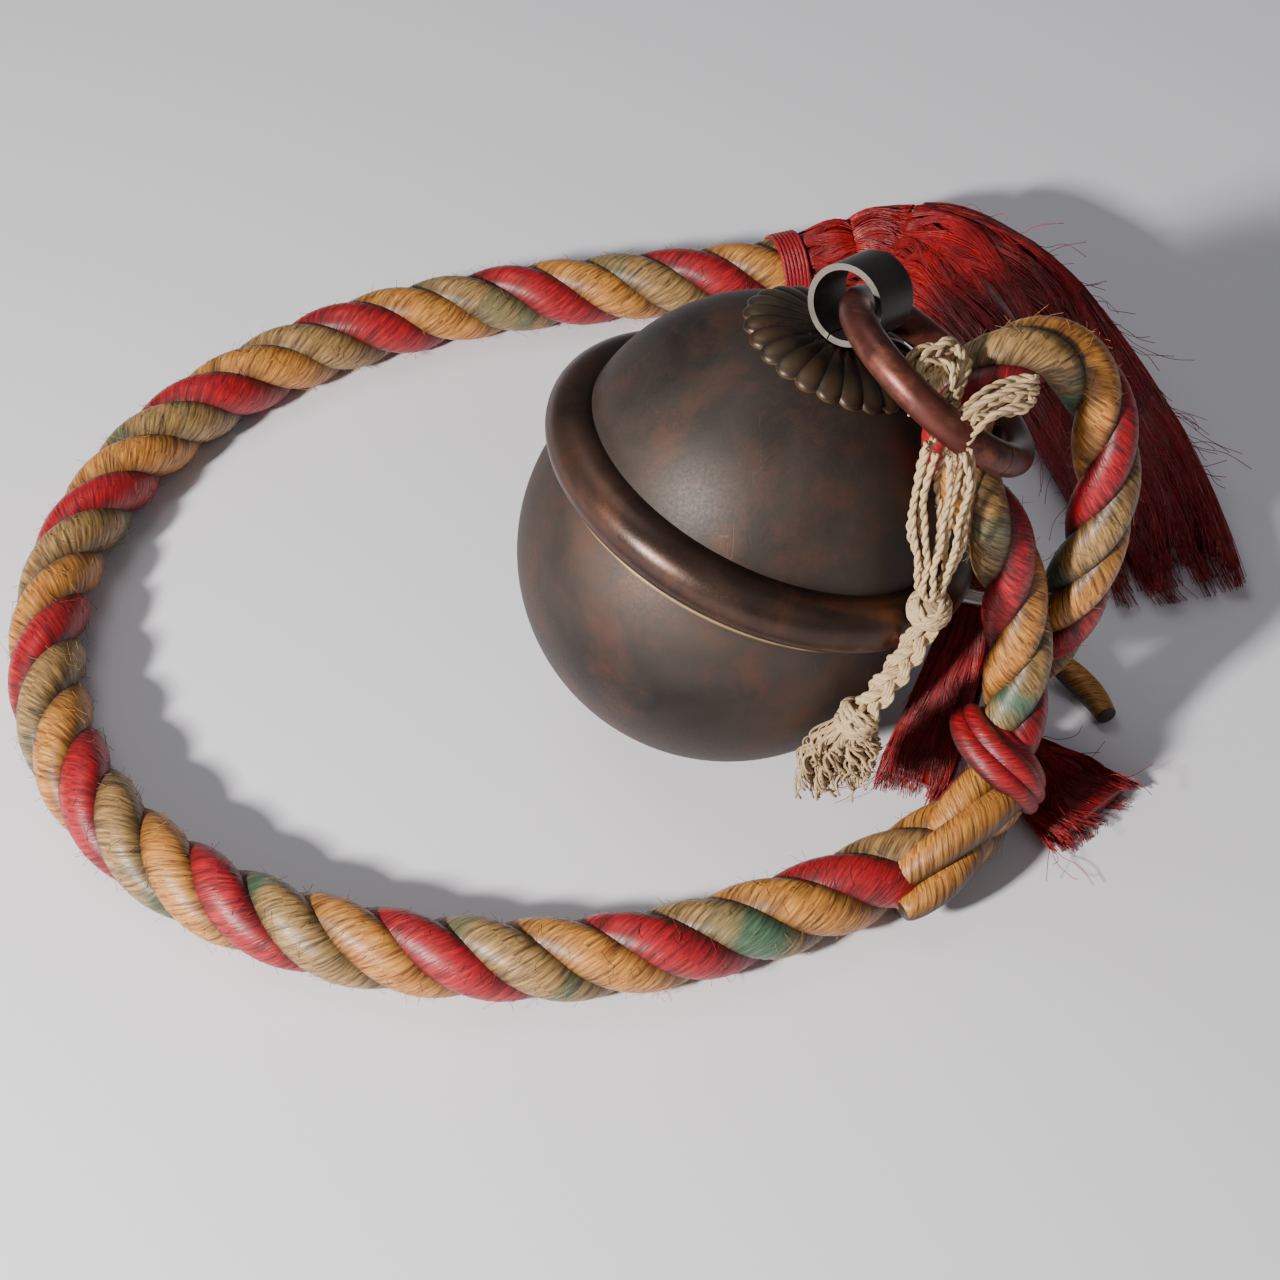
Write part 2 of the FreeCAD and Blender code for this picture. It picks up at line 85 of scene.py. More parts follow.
# %% Camera
VIEW_ELEVATION = math.radians(46.0)
VIEW_DISTANCE = 1.20075
VIEW_TARGET = Vector((-0.0354, 0.0321, 0.0))
LENS = 77.93
back = Vector((0, -math.cos(VIEW_ELEVATION), math.sin(VIEW_ELEVATION)))
bpy.ops.object.camera_add(location=VIEW_TARGET + back * VIEW_DISTANCE,
                          rotation=(math.pi / 2 - VIEW_ELEVATION, 0, 0))
camera = bpy.context.object
camera.data.lens = LENS
camera.data.clip_end = 20
bpy.context.scene.camera = camera
print("camera:", LENS, "mm, from", [round(v, 3) for v in camera.location])


# %% Lights
LIGHT_TARGET = Vector((0, 0, 0.06))


def area_light(name, place, size, watts, tint):
    bpy.ops.object.light_add(type="AREA", location=place)
    light = bpy.context.object
    light.name = name
    light.data.size = size
    light.data.energy = watts
    light.data.color = tint
    aim = LIGHT_TARGET - Vector(place)
    light.rotation_euler = aim.to_track_quat("-Z", "Y").to_euler()


area_light("key", (-1.05, -1.0, 0.80), 0.15, 62, (1.0, 0.97, 0.94))
area_light("top", (-0.6, 0.5, 1.8), 1.0, 7, (0.95, 0.97, 1.0))
area_light("fill", (0.9, -1.3, 1.5), 1.6, 3, (0.93, 0.96, 1.0))
world = bpy.data.worlds.new("studio")
bpy.context.scene.world = world
world.use_nodes = True
world.node_tree.nodes["Background"].inputs["Color"].default_value = (0.80, 0.82, 0.86, 1)
world.node_tree.nodes["Background"].inputs["Strength"].default_value = 0.17

# %% Floor
bpy.ops.object.select_all(action="DESELECT")
bpy.ops.mesh.primitive_plane_add(size=12, location=(0, 0, 0))
floor = bpy.context.object
floor.name = "floor"
floor_material = bpy.data.materials.new("pale floor")
floor_material.use_nodes = True
floor_shader = floor_material.node_tree.nodes["Principled BSDF"]
floor_shader.inputs["Base Color"].default_value = (0.78, 0.76, 0.80, 1)
floor_shader.inputs["Roughness"].default_value = 0.85
floor.data.materials.append(floor_material)
print("floor:", floor.dimensions.x, "m wide")

# %% [markdown]
# ## Small helpers
# Dyes and patinas are known by how they look, so colours are given as they look and turned
# into the linear light that shaders work in. Materials are node trees; these helpers add a
# node, link sockets and give a material its shader, so each finish below stays short.


# %% Colours and nodes
def seen(red, green, blue):
    """A colour as it looks, 0 to 255, as linear light with full alpha."""
    linear = []
    for value in (red, green, blue):
        value /= 255
        linear.append(value / 12.92 if value <= 0.04045 else ((value + 0.055) / 1.055) ** 2.4)
    return (*linear, 1.0)


def add_node(tree, kind, inputs=None, **settings):
    node = tree.nodes.new(kind)
    for key, value in settings.items():
        setattr(node, key, value)
    for key, value in (inputs or {}).items():
        if isinstance(value, bpy.types.NodeSocket):
            tree.links.new(value, node.inputs[key])
        else:
            node.inputs[key].default_value = value
    return node


def math_node(tree, operation, first, second=0.0):
    node = add_node(tree, "ShaderNodeMath", {0: first, 1: second}, operation=operation)
    return node.outputs[0]


def remap(tree, value, low, high, to_low=0.0, to_high=1.0):
    node = add_node(tree, "ShaderNodeMapRange", {
        "Value": value, "From Min": low, "From Max": high,
        "To Min": to_low, "To Max": to_high})
    return node.outputs["Result"]


def mix_colour(tree, factor, first, second, blend_type="MIX"):
    node = tree.nodes.new("ShaderNodeMix")
    node.data_type = "RGBA"
    node.blend_type = blend_type
    for socket, value in ((node.inputs[0], factor), (node.inputs[6], first),
                          (node.inputs[7], second)):
        if isinstance(value, bpy.types.NodeSocket):
            tree.links.new(value, socket)
        else:
            socket.default_value = value
    return node.outputs[2]


def new_material(name, **shader):
    """A material with a Principled shader whose constant sockets are set directly."""
    material = bpy.data.materials.new(name)
    material.use_nodes = True
    bsdf = material.node_tree.nodes["Principled BSDF"]
    for key, value in shader.items():
        bsdf.inputs[key.replace("_", " ")].default_value = value
    return material, material.node_tree, bsdf


def bump(tree, bsdf, height, distance, strength=1.0):
    node = add_node(tree, "ShaderNodeBump", {
        "Height": height, "Distance": distance, "Strength": strength})
    tree.links.new(node.outputs["Normal"], bsdf.inputs["Normal"])


# %% [markdown]
# ## Shared effects
# Three effects turn up on several finishes: cloudy mottling with fine grain, hairline
# scratches, and combed fibres. Each is a node group built once, with its size as an input,
# and gives back masks and heights that the finish turns into colour and relief.


# %% Shared groups
def make_group(name, inputs, outputs):
    tree = bpy.data.node_groups.new(name, "ShaderNodeTree")
    for label, kind, value in inputs:
        socket = tree.interface.new_socket(label, in_out="INPUT", socket_type=kind)
        if value is not None:
            socket.default_value = value
    for label in outputs:
        tree.interface.new_socket(label, in_out="OUTPUT", socket_type="NodeSocketFloat")
    return tree, tree.nodes.new("NodeGroupInput"), tree.nodes.new("NodeGroupOutput")


def make_mottling():
    """Cloud: broad patches. Blotch: sharper stains. Grain: fine speckle."""
    tree, given, out = make_group("mottling", [
        ("Vector", "NodeSocketVector", None), ("Scale", "NodeSocketFloat", 14.0)],
        ["Cloud", "Blotch", "Grain"])
    cloud = add_node(tree, "ShaderNodeTexNoise", {
        "Vector": given.outputs["Vector"], "Scale": given.outputs["Scale"],
        "Detail": 5.0, "Roughness": 0.55, "Distortion": 0.6})
    finer = math_node(tree, "MULTIPLY", given.outputs["Scale"], 2.1)
    blotch = add_node(tree, "ShaderNodeTexNoise", {
        "Vector": given.outputs["Vector"], "Scale": finer, "Detail": 6.0,
        "Roughness": 0.72, "Distortion": 0.3})
    finest = math_node(tree, "MULTIPLY", given.outputs["Scale"], 60.0)
    grain = add_node(tree, "ShaderNodeTexNoise", {
        "Vector": given.outputs["Vector"], "Scale": finest, "Detail": 3.0})
    tree.links.new(remap(tree, cloud.outputs["Fac"], 0.32, 0.68), out.inputs["Cloud"])
    tree.links.new(remap(tree, blotch.outputs["Fac"], 0.49, 0.68), out.inputs["Blotch"])
    tree.links.new(grain.outputs["Fac"], out.inputs["Grain"])
    return tree


def make_scratches():
    """Thin bright lines in two directions, broken up so that few of them show."""
    tree, given, out = make_group("hairline scratches", [
        ("Vector", "NodeSocketVector", None), ("Scale", "NodeSocketFloat", 90.0)],
        ["Line"])
    lines = []
    for turn in (0.5, 2.1):
        place = add_node(tree, "ShaderNodeMapping", {
            "Vector": given.outputs["Vector"], "Rotation": (0.3, 0.7, turn),
            "Scale": (1.0, 0.05, 0.2)})
        cells = add_node(tree, "ShaderNodeTexVoronoi", {
            "Vector": place.outputs["Vector"], "Scale": given.outputs["Scale"]},
            feature="DISTANCE_TO_EDGE")
        lines.append(remap(tree, cells.outputs["Distance"], 0.0, 0.006, 1.0, 0.0))
    broken = add_node(tree, "ShaderNodeTexNoise", {
        "Vector": given.outputs["Vector"], "Scale": 55.0, "Detail": 2.0})
    gate = remap(tree, broken.outputs["Fac"], 0.62, 0.72)
    both = math_node(tree, "MAXIMUM", lines[0], lines[1])
    tree.links.new(math_node(tree, "MULTIPLY", both, gate), out.inputs["Line"])
    return tree


def make_fibres():
    """Combed fibres: fine streaks across the piece's length, leaning by Slant."""
    tree, given, out = make_group("combed fibres", [
        ("Vector", "NodeSocketVector", None), ("Count", "NodeSocketFloat", 1500.0),
        ("Around", "NodeSocketFloat", 3.0), ("Slant", "NodeSocketFloat", 0.01)],
        ["Streak", "Lock", "Height"])
    parts = add_node(tree, "ShaderNodeSeparateXYZ", {"Vector": given.outputs["Vector"]})
    lean = math_node(tree, "MULTIPLY", parts.outputs["Y"], given.outputs["Slant"])
    along = math_node(tree, "ADD", parts.outputs["X"], lean)
    fine_x = math_node(tree, "MULTIPLY", along, given.outputs["Count"])
    fine_y = math_node(tree, "MULTIPLY", parts.outputs["Y"], given.outputs["Around"])
    fine = add_node(tree, "ShaderNodeCombineXYZ", {"X": fine_x, "Y": fine_y})
    streak = add_node(tree, "ShaderNodeTexNoise", {
        "Vector": fine.outputs["Vector"], "Scale": 1.0, "Detail": 3.0, "Roughness": 0.7})
    lock_x = math_node(tree, "MULTIPLY", fine_x, 0.13)
    broad = add_node(tree, "ShaderNodeCombineXYZ", {"X": lock_x, "Y": fine_y})
    lock = add_node(tree, "ShaderNodeTexNoise", {
        "Vector": broad.outputs["Vector"], "Scale": 1.0, "Detail": 2.0})
    tree.links.new(remap(tree, streak.outputs["Fac"], 0.37, 0.71), out.inputs["Streak"])
    tree.links.new(remap(tree, lock.outputs["Fac"], 0.3, 0.7), out.inputs["Lock"])
    total = math_node(tree, "ADD", streak.outputs["Fac"], lock.outputs["Fac"])
    tree.links.new(total, out.inputs["Height"])
    return tree


GROUPS = {"mottling": make_mottling(), "scratches": make_scratches(), "fibres": make_fibres()}
print("groups:", list(GROUPS))


def use_group(tree, which, **inputs):
    node = tree.nodes.new("ShaderNodeGroup")
    node.node_tree = GROUPS[which]
    for key, value in inputs.items():
        if isinstance(value, bpy.types.NodeSocket):
            tree.links.new(value, node.inputs[key])
        else:
            node.inputs[key].default_value = value
    return node


# %% [markdown]
# ## Metal finishes
# Old copper alloy goes dark brown, with warmer stains where hands and weather reached it
# and a bright line where a rim rubs. The shader is a metal with a soft coat; the mottling
# moves its colour and roughness, the scratches catch light, and a mask measured along the
# bell's axis draws the worn line.


# %% Patinated metal
def along_axis(tree, origin, axis):
    """Distance of the shaded point from origin along axis, in metres."""
    place = add_node(tree, "ShaderNodeTexCoord").outputs["Object"]
    shifted = add_node(tree, "ShaderNodeVectorMath", {0: place, 1: tuple(origin)},
                       operation="SUBTRACT")
    dot = add_node(tree, "ShaderNodeVectorMath",
                   {0: shifted.outputs["Vector"], 1: tuple(axis)}, operation="DOT_PRODUCT")
    return dot.outputs["Value"]


WEAR_SOFTNESS = 0.0005


def patina(name, dark, mid, warm, rough, warmth=0.5, scale=14.0, wear=None, metal=0.85):
    material, tree, bsdf = new_material(name, Metallic=metal, Coat_Weight=0.02,
                                        Coat_Roughness=0.35)
    place = add_node(tree, "ShaderNodeTexCoord").outputs["Object"]
    mottle = use_group(tree, "mottling", Vector=place, Scale=scale)
    scratch = use_group(tree, "scratches", Vector=place)
    base = mix_colour(tree, mottle.outputs["Cloud"], seen(*dark), seen(*mid))
    stain = math_node(tree, "MULTIPLY", mottle.outputs["Blotch"], warmth)
    base = mix_colour(tree, stain, base, seen(*warm))
    light = math_node(tree, "MULTIPLY", scratch.outputs["Line"], 0.16)
    base = mix_colour(tree, light, base, seen(150, 130, 114))
    if wear:
        origin, axis, low, high, tint = wear
        reach = along_axis(tree, origin, axis)
        rise = remap(tree, reach, low - WEAR_SOFTNESS, low)
        fall = remap(tree, reach, high, high + WEAR_SOFTNESS, 1.0, 0.0)
        rub = math_node(tree, "MULTIPLY", rise, fall)
        patchy = remap(tree, mottle.outputs["Cloud"], 0.35, 0.85)
        base = mix_colour(tree, math_node(tree, "MULTIPLY", rub, patchy), base, seen(*tint))
    tree.links.new(base, bsdf.inputs["Base Color"])
    cloudy = remap(tree, mottle.outputs["Cloud"], 0.0, 1.0, rough - 0.06, rough + 0.08)
    grainy = remap(tree, mottle.outputs["Grain"], 0.3, 0.7, -0.05, 0.05)
    tree.links.new(math_node(tree, "ADD", cloudy, grainy), bsdf.inputs["Roughness"])
    relief = math_node(tree, "SUBTRACT", mottle.outputs["Grain"], scratch.outputs["Line"])
    bump(tree, bsdf, relief, 0.00006, 0.5)
    return material


WORN_LOW = 0.0222
WORN_HIGH = 0.0241
BODY = patina("body patina", (38, 34, 31), (70, 60, 53), (94, 58, 44), 0.56, warmth=0.5,
              metal=0.55)
BODY_WORN = patina("body patina with a worn line", (38, 34, 31), (70, 60, 53), (94, 58, 44),
                   0.56, warmth=0.5, metal=0.55,
                   wear=(bell_centre, bell_axis, WORN_LOW, WORN_HIGH, (176, 146, 94)))
BAND = patina("band patina", (48, 36, 31), (78, 57, 47), (104, 62, 45), 0.36,
              warmth=0.6, scale=18.0, metal=0.70)
CROWN = patina("crown patina", (42, 36, 31), (70, 58, 48), (98, 60, 44), 0.42, scale=26.0,
               metal=0.65)
COPPER = patina("ring copper", (58, 32, 30), (100, 52, 42), (130, 78, 60), 0.40,
                warmth=0.8, scale=36.0, metal=0.65)
EYE = patina("eye strip", (58, 55, 52), (84, 79, 74), (84, 72, 62), 0.40, scale=30.0)
IRON = patina("forged iron", (52, 48, 46), (84, 78, 72), (110, 70, 48), 0.55, scale=60.0)


def cut_edges(material, origin, axis, half_width, tint):
    """Brightens the two cut faces of a rolled strip."""
    tree = material.node_tree
    bsdf = tree.nodes["Principled BSDF"]
    reach = math_node(tree, "ABSOLUTE", along_axis(tree, origin, axis))
    face = remap(tree, reach, half_width - 0.0004, half_width - 0.0001)
    under = bsdf.inputs["Base Color"].links[0].from_socket
    tree.links.new(mix_colour(tree, face, under, seen(*tint)), bsdf.inputs["Base Color"])


EYE_HALF_WIDTH = 0.012
cut_edges(EYE, eye_centre, eye_axis, EYE_HALF_WIDTH, (98, 93, 86))


def paint(node, material):
    """Gives a CAD node its finish; its mesh stays as it is."""
    item = frame["nodes"][node]
    item.data.materials.clear()
    item.data.materials.append(material)


FINISHES = {"lower_shell": BODY_WORN, "upper_shell": BODY, "waist_band": BAND,
            "hanging_eye": EYE, "inner_washer": IRON, "hanging_ring": COPPER,
            "pellet": IRON}
for node_name, finish in FINISHES.items():
    paint(node_name, finish)
print("painted:", list(FINISHES))


# %% [markdown]
# ## The petalled crown
# Under the eye lies a chrysanthemum of 24 rounded petals, raised in the plate, worn bright
# at their rims and a little on their ridges. A petal starts as a ball, is tapered towards
# the middle, stretched to the petal's length and laid on the dome's slope, and then copied
# round the axis. Where it is worn is written on its points as an attribute.

# %% One petal
PETALS = 24
DOME_RADIUS = 0.0783
DOME_RISE = 0.0336
PETAL_INNER = 0.011
PETAL_OUTER = 0.0386
PETAL_HALF_WIDTH = 0.0068
PETAL_HALF_HEIGHT = 0.0036
PETAL_SINK = 0.0004
TAPER = 1.15
TAPER_SWELL = 1.25
RIM_TOP = 0.0011
RIM_FADE = 0.0009
RIDGE_FOOT = 0.0022
RIDGE_RISE = 0.0016
petal_middle = (PETAL_INNER + PETAL_OUTER) / 2
dome_drop = math.sqrt(DOME_RADIUS ** 2 - petal_middle ** 2)
petal_slope = math.atan2(petal_middle, dome_drop)
bpy.ops.object.select_all(action="DESELECT")
bpy.ops.mesh.primitive_uv_sphere_add(segments=28, ring_count=18, radius=1,
                                     rotation=(0, math.pi / 2, 0))
petal = bpy.context.object
bpy.ops.object.transform_apply(location=False, rotation=True, scale=False)
taper = petal.modifiers.new("narrow towards the eye", "SIMPLE_DEFORM")
taper.deform_method = "TAPER"
taper.deform_axis = "X"
taper.factor = TAPER
bpy.ops.object.modifier_apply(modifier=taper.name)
bpy.ops.object.mode_set(mode="EDIT")
bpy.ops.mesh.select_all(action="SELECT")
bpy.ops.transform.resize(value=((PETAL_OUTER - PETAL_INNER) / 2,
                                PETAL_HALF_WIDTH / TAPER_SWELL,
                                PETAL_HALF_HEIGHT / TAPER_SWELL))
bpy.ops.transform.rotate(value=-petal_slope, orient_axis="Y")
bpy.ops.transform.translate(value=(petal_middle, 0, DOME_RISE + dome_drop - PETAL_SINK))
bpy.ops.object.mode_set(mode="OBJECT")
rub_values = petal.data.attributes.new("rub", "FLOAT", "POINT")
tops = np.array([v.co[:] for v in petal.data.vertices])
above = np.hypot(tops[:, 0], tops[:, 2] - DOME_RISE) - DOME_RADIUS
worn_rim = np.clip((RIM_TOP - above) / RIM_FADE, 0, 1)
worn_ridge = 0.5 * np.clip((above - RIDGE_FOOT) / RIDGE_RISE, 0, 1)
rub_values.data.foreach_set("value", np.maximum(worn_rim, worn_ridge).astype(np.float32))
print("petal slope:", round(math.degrees(petal_slope), 1), "degrees")

# %% Crown of petals
BOSS_RADIUS = 0.0165
BOSS_DEPTH = 0.006
BOSS_HEIGHT = 0.1085
crown_pieces = [petal]
for number in range(1, PETALS):
    bpy.ops.object.select_all(action="DESELECT")
    petal.select_set(True)
    bpy.context.view_layer.objects.active = petal
    bpy.ops.object.duplicate()
    twin = bpy.context.object
    twin.rotation_euler.z = 2 * math.pi * number / PETALS
    bpy.ops.object.transform_apply(location=False, rotation=True, scale=False)
    crown_pieces.append(twin)
bpy.ops.object.select_all(action="DESELECT")
bpy.ops.mesh.primitive_cylinder_add(vertices=96, radius=BOSS_RADIUS, depth=BOSS_DEPTH,
                                    location=(0, 0, BOSS_HEIGHT))
boss = bpy.context.object
edge = boss.modifiers.new("soft edge", "BEVEL")
edge.width = 0.001
edge.segments = 3
bpy.ops.object.modifier_apply(modifier=edge.name)
bpy.ops.object.transform_apply(location=True, rotation=False, scale=False)
for item in crown_pieces:
    item.select_set(True)
bpy.context.view_layer.objects.active = petal
bpy.ops.object.join()
crown = bpy.context.object
crown.name = "petalled_crown"
crown.data.transform(BELL)
bpy.ops.object.shade_smooth_by_angle(angle=math.radians(50))
crown.data.materials.clear()
crown.data.materials.append(CROWN)
crown_tree = CROWN.node_tree
crown_shader = crown_tree.nodes["Principled BSDF"]
rub = add_node(crown_tree, "ShaderNodeAttribute", attribute_name="rub").outputs["Fac"]
under = crown_shader.inputs["Base Color"].links[0].from_socket
worn = mix_colour(crown_tree, math_node(crown_tree, "MULTIPLY", rub, 0.55), under,
                  seen(170, 138, 96))
crown_tree.links.new(worn, crown_shader.inputs["Base Color"])
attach(crown, "bell")
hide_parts("crown_rosette")
print("crown faces:", len(crown.data.polygons))

# %% [markdown]
# ## Fibre finishes
# Rope strands, tassels and cords are all fibre, seen at different sizes. Each mesh below
# carries a UV map whose first number is the length along the piece in metres, so the
# streaks keep the same real size everywhere, and a shade attribute that darkens single
# fibres at random and paints shade onto the hidden cores of tassels and knots. Rope strands
# also get painted shade on their inner sides, where they lie against each other. A little
# sheen gives the silky edge.

# %% Fibre materials
def fibre_material(name, deep, mid, light, count, slant, around=3.0, patch=None,
                   relief=0.0005, rough=0.38, groove_shade=False):
    material, tree, bsdf = new_material(name, Sheen_Weight=0.04, Sheen_Roughness=0.4,
                                        Specular_IOR_Level=0.5)
    uv = add_node(tree, "ShaderNodeUVMap", uv_map="lay").outputs["UV"]
    comb = use_group(tree, "fibres", Vector=uv, Count=count, Slant=slant, Around=around)
    base = mix_colour(tree, comb.outputs["Lock"], seen(*deep), seen(*mid))
    base = mix_colour(tree, comb.outputs["Streak"], base, seen(*light))
    if patch:
        tint, low, high = patch
        parts = add_node(tree, "ShaderNodeSeparateXYZ", {"Vector": uv})
        stretch = add_node(tree, "ShaderNodeCombineXYZ", {
            "X": math_node(tree, "MULTIPLY", parts.outputs["X"], 22.0)})
        drift = add_node(tree, "ShaderNodeTexNoise", {
            "Vector": stretch.outputs["Vector"], "Scale": 1.0, "Detail": 2.0})
        area = remap(tree, drift.outputs["Fac"], low, high)
        dyed = mix_colour(tree, comb.outputs["Streak"], seen(*[c * 0.6 for c in tint]),
                          seen(*tint))
        base = mix_colour(tree, area, base, dyed)
    # A low shade value darkens the colour: random tone on single fibres, and painted shade on the solid cores
    # inside tassels and knots.
    shade = add_node(tree, "ShaderNodeAttribute", attribute_name="shade").outputs["Fac"]
    dark = seen(*[c * 0.45 for c in deep])
    base = mix_colour(tree, remap(tree, shade, 0.0, 1.0, 0.7, 0.0), base, dark)
    # Painted shade: the strand is darkened on its inner side and flanks, in the groove where it lies against the
    # other strands.
    if groove_shade:
        parts = add_node(tree, "ShaderNodeSeparateXYZ", {"Vector": uv})
        inward = math_node(tree, "ABSOLUTE",
                           math_node(tree, "SUBTRACT", parts.outputs["Y"], 0.5))
        base = mix_colour(tree, remap(tree, inward, 0.22, 0.42, 0.95, 0.0), base, dark)
    tree.links.new(base, bsdf.inputs["Base Color"])
    tree.links.new(remap(tree, comb.outputs["Streak"], 0.0, 1.0, rough + 0.14, rough - 0.06),
                   bsdf.inputs["Roughness"])
    bump(tree, bsdf, comb.outputs["Height"], relief, 0.8)
    return material


GOLD = fibre_material("gold strand", (62, 28, 4), (138, 72, 14), (224, 156, 70),
                      950, 0.022, groove_shade=True)
OLIVE = fibre_material("olive strand", (40, 28, 12), (96, 68, 32), (188, 146, 88),
                       950, 0.022, patch=((84, 116, 86), 0.52, 0.60), groove_shade=True)
RED = fibre_material("red strand", (48, 2, 4), (112, 5, 11), (192, 24, 34), 950, 0.022,
                     groove_shade=True)
BOUND_RED = fibre_material("red binding", (52, 2, 4), (118, 5, 12), (188, 22, 34),
                           1500, 0.010)
TASSEL = fibre_material("tassel fibre", (84, 3, 6), (146, 7, 12), (202, 24, 26),
                        60, 0.0, around=2.0, rough=0.32, relief=0.0001)
HEMP = fibre_material("hemp ply", (120, 88, 54), (180, 148, 104), (222, 196, 154),
                      700, 0.02, relief=0.00012, rough=0.7)
THREAD = fibre_material("white thread", (190, 180, 168), (228, 220, 208), (250, 246, 240),
                        900, 0.02, relief=0.00008, rough=0.65)
print("fibre materials ready")


# %% [markdown]
# ## Meshes that follow a line
# Ropes, cords and fibres are tubes along a line. A frame is carried along the line without
# twisting, rings of points are set round it, and neighbouring rings are joined by faces.
# One mesh can hold many tubes, which keeps a tassel of a thousand fibres a single piece.


# %% Lines and frames
def distances(line):
    """Length along the line from its start to each of its points."""
    return np.concatenate([[0], np.cumsum(np.linalg.norm(np.diff(line, axis=0), axis=1))])


def resample(points, step):
    """The same line with evenly spaced points."""
    points = np.asarray(points, float)
    along = distances(points)
    count = max(2, int(round(along[-1] / step)) + 1)
    wanted = np.linspace(0, along[-1], count)
    return np.stack([np.interp(wanted, along, points[:, i]) for i in range(3)], 1)


def unit(vectors):
    return vectors / np.maximum(np.linalg.norm(vectors, axis=-1, keepdims=True), 1e-12)


def carry_frame(line, first=None):
    """Tangents and two normals at each point, turned no more than the line turns."""
    tangents = unit(np.gradient(line, axis=0))
    normal = np.array([0.0, 0.0, 1.0]) if first is None else np.array(first, float)
    if abs(normal @ tangents[0]) > 0.95:
        normal = np.array([1.0, 0.0, 0.0])
    normals = np.zeros_like(line)
    for index, tangent in enumerate(tangents):
        normal = normal - tangent * (normal @ tangent)
        normal /= np.linalg.norm(normal)
        normals[index] = normal
    return tangents, normals, np.cross(tangents, normals)


def smooth_line(points, step):
    """A soft line that follows given points: corners rounded three times, resampled."""
    line = np.asarray(points, float)
    for _ in range(3):
        quarter = line[:-1] * 0.75 + line[1:] * 0.25
        three = line[:-1] * 0.25 + line[1:] * 0.75
        middle = np.empty((2 * len(quarter), 3))
        middle[0::2] = quarter
        middle[1::2] = three
        line = np.vstack([line[:1], middle, line[-1:]])
    return resample(line, step)


class TubeBuilder:
    """Collects tubes, then makes them one mesh with a lay UV map and a shade attribute."""

    def __init__(self):
        self.points, self.faces, self.uvs, self.shades, self.slots = [], [], [], [], []
        self.count = 0

    def add(self, rings, lengths, shade=1.0, slot=0, around=1.0):
        """rings: (steps, sides, 3) points; lengths: distance along for each ring."""
        steps, sides, _ = rings.shape
        base = self.count
        self.points.append(rings.reshape(-1, 3))
        self.count += steps * sides
        for step in range(steps - 1):
            for side in range(sides):
                after = (side + 1) % sides
                a = base + step * sides + side
                b = base + step * sides + after
                self.faces.append((a, b, b + sides, a + sides))
                v0, v1 = around * side / sides, around * (side + 1) / sides
                u0, u1 = lengths[step], lengths[step + 1]
                self.uvs.extend(((u0, v0), (u0, v1), (u1, v1), (u1, v0)))
                self.slots.append(slot)
        for step, order in ((0, -1), (steps - 1, 1)):
            ring = [base + step * sides + side for side in range(sides)][::order]
            self.faces.append(tuple(ring))
            self.uvs.extend([(lengths[step], 0.5 * around)] * sides)
            self.slots.append(slot)
        self.shades.append(np.full(steps * sides, shade))

    def tube(self, line, radius, sides, shade=1.0, slot=0, around=1.0):
        """A round tube along a line; radius is a number or one per point."""
        line = np.asarray(line, float)
        _, normals, sideways = carry_frame(line)
        radius = np.broadcast_to(np.asarray(radius, float), (len(line),))
        angles = np.arange(sides) * 2 * math.pi / sides
        ring = (normals[:, None] * np.cos(angles)[None, :, None]
                + sideways[:, None] * np.sin(angles)[None, :, None])
        self.add(line[:, None] + ring * radius[:, None, None], distances(line), shade, slot,
                 around)

    def build(self, name, materials, body, node_names):
        """Makes the piece; body is None for a piece that is left without a body."""
        mesh = bpy.data.meshes.new(name)
        mesh.from_pydata(np.concatenate(self.points).tolist(), [], self.faces)
        layer = mesh.uv_layers.new(name="lay")
        layer.data.foreach_set("uv", np.asarray(self.uvs, np.float32).ravel())
        attribute = mesh.attributes.new("shade", "FLOAT", "POINT")
        attribute.data.foreach_set("value", np.concatenate(self.shades).astype(np.float32))
        for material in materials:
            mesh.materials.append(material)
        mesh.polygons.foreach_set("material_index", np.asarray(self.slots, np.int32))
        mesh.polygons.foreach_set("use_smooth", np.ones(len(mesh.polygons), bool))
        mesh.validate()
        mesh.update()
        item = bpy.data.objects.new(name, mesh)
        bpy.context.scene.collection.objects.link(item)
        if body:
            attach(item, body)
        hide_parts(*node_names)
        print(name, "faces", len(mesh.polygons))
        return item


# %% [markdown]
# ## The rope
# The rope is three fat strands, gold, red and olive, laid right-handed with a turn every
# 84 mm. It starts at the splice, climbs through the ring and down again as an eye, and then
# lies on the floor in a wide loop to its tassel. Its middle line is a smooth curve through
# listed points; each strand winds round that line, and combed fibres wind round each
# strand.

# %% Routes
LAID = 16.7
THROAT = (110, -66, 37)
ROPE_MAIN = [
    THROAT, (106, -77, 23.5), (93, -90, 17.5), (72, -105, LAID), (44, -121, LAID),
    (9, -137, LAID), (-31, -150, LAID), (-75, -155, LAID), (-120, -152, LAID),
    (-164, -142, LAID), (-204, -123, LAID), (-238, -97, LAID), (-265, -62, LAID),
    (-282, -20, LAID), (-289, 25, LAID), (-286, 71, LAID), (-272, 115, LAID),
    (-249, 155, LAID), (-216, 190, LAID), (-175, 218, LAID), (-129, 237, LAID),
    (-81, 249, LAID), (-33, 255, LAID), (12, 261, LAID), (46, 270, LAID),
]
ROPE_EYE = [
    (126, -16, 43), (133, -27, 70), (139, -27, 100), (145, -19, 131), (143, -8, 162),
    (130, -2, 188), (106, -10, 200), (82, -21.5, 186), (84, -34.5, 158), (101, -40, 134.5),
    (109, -39.5, 107), (114, -45, 78), (114, -55, 50.5), THROAT,
]


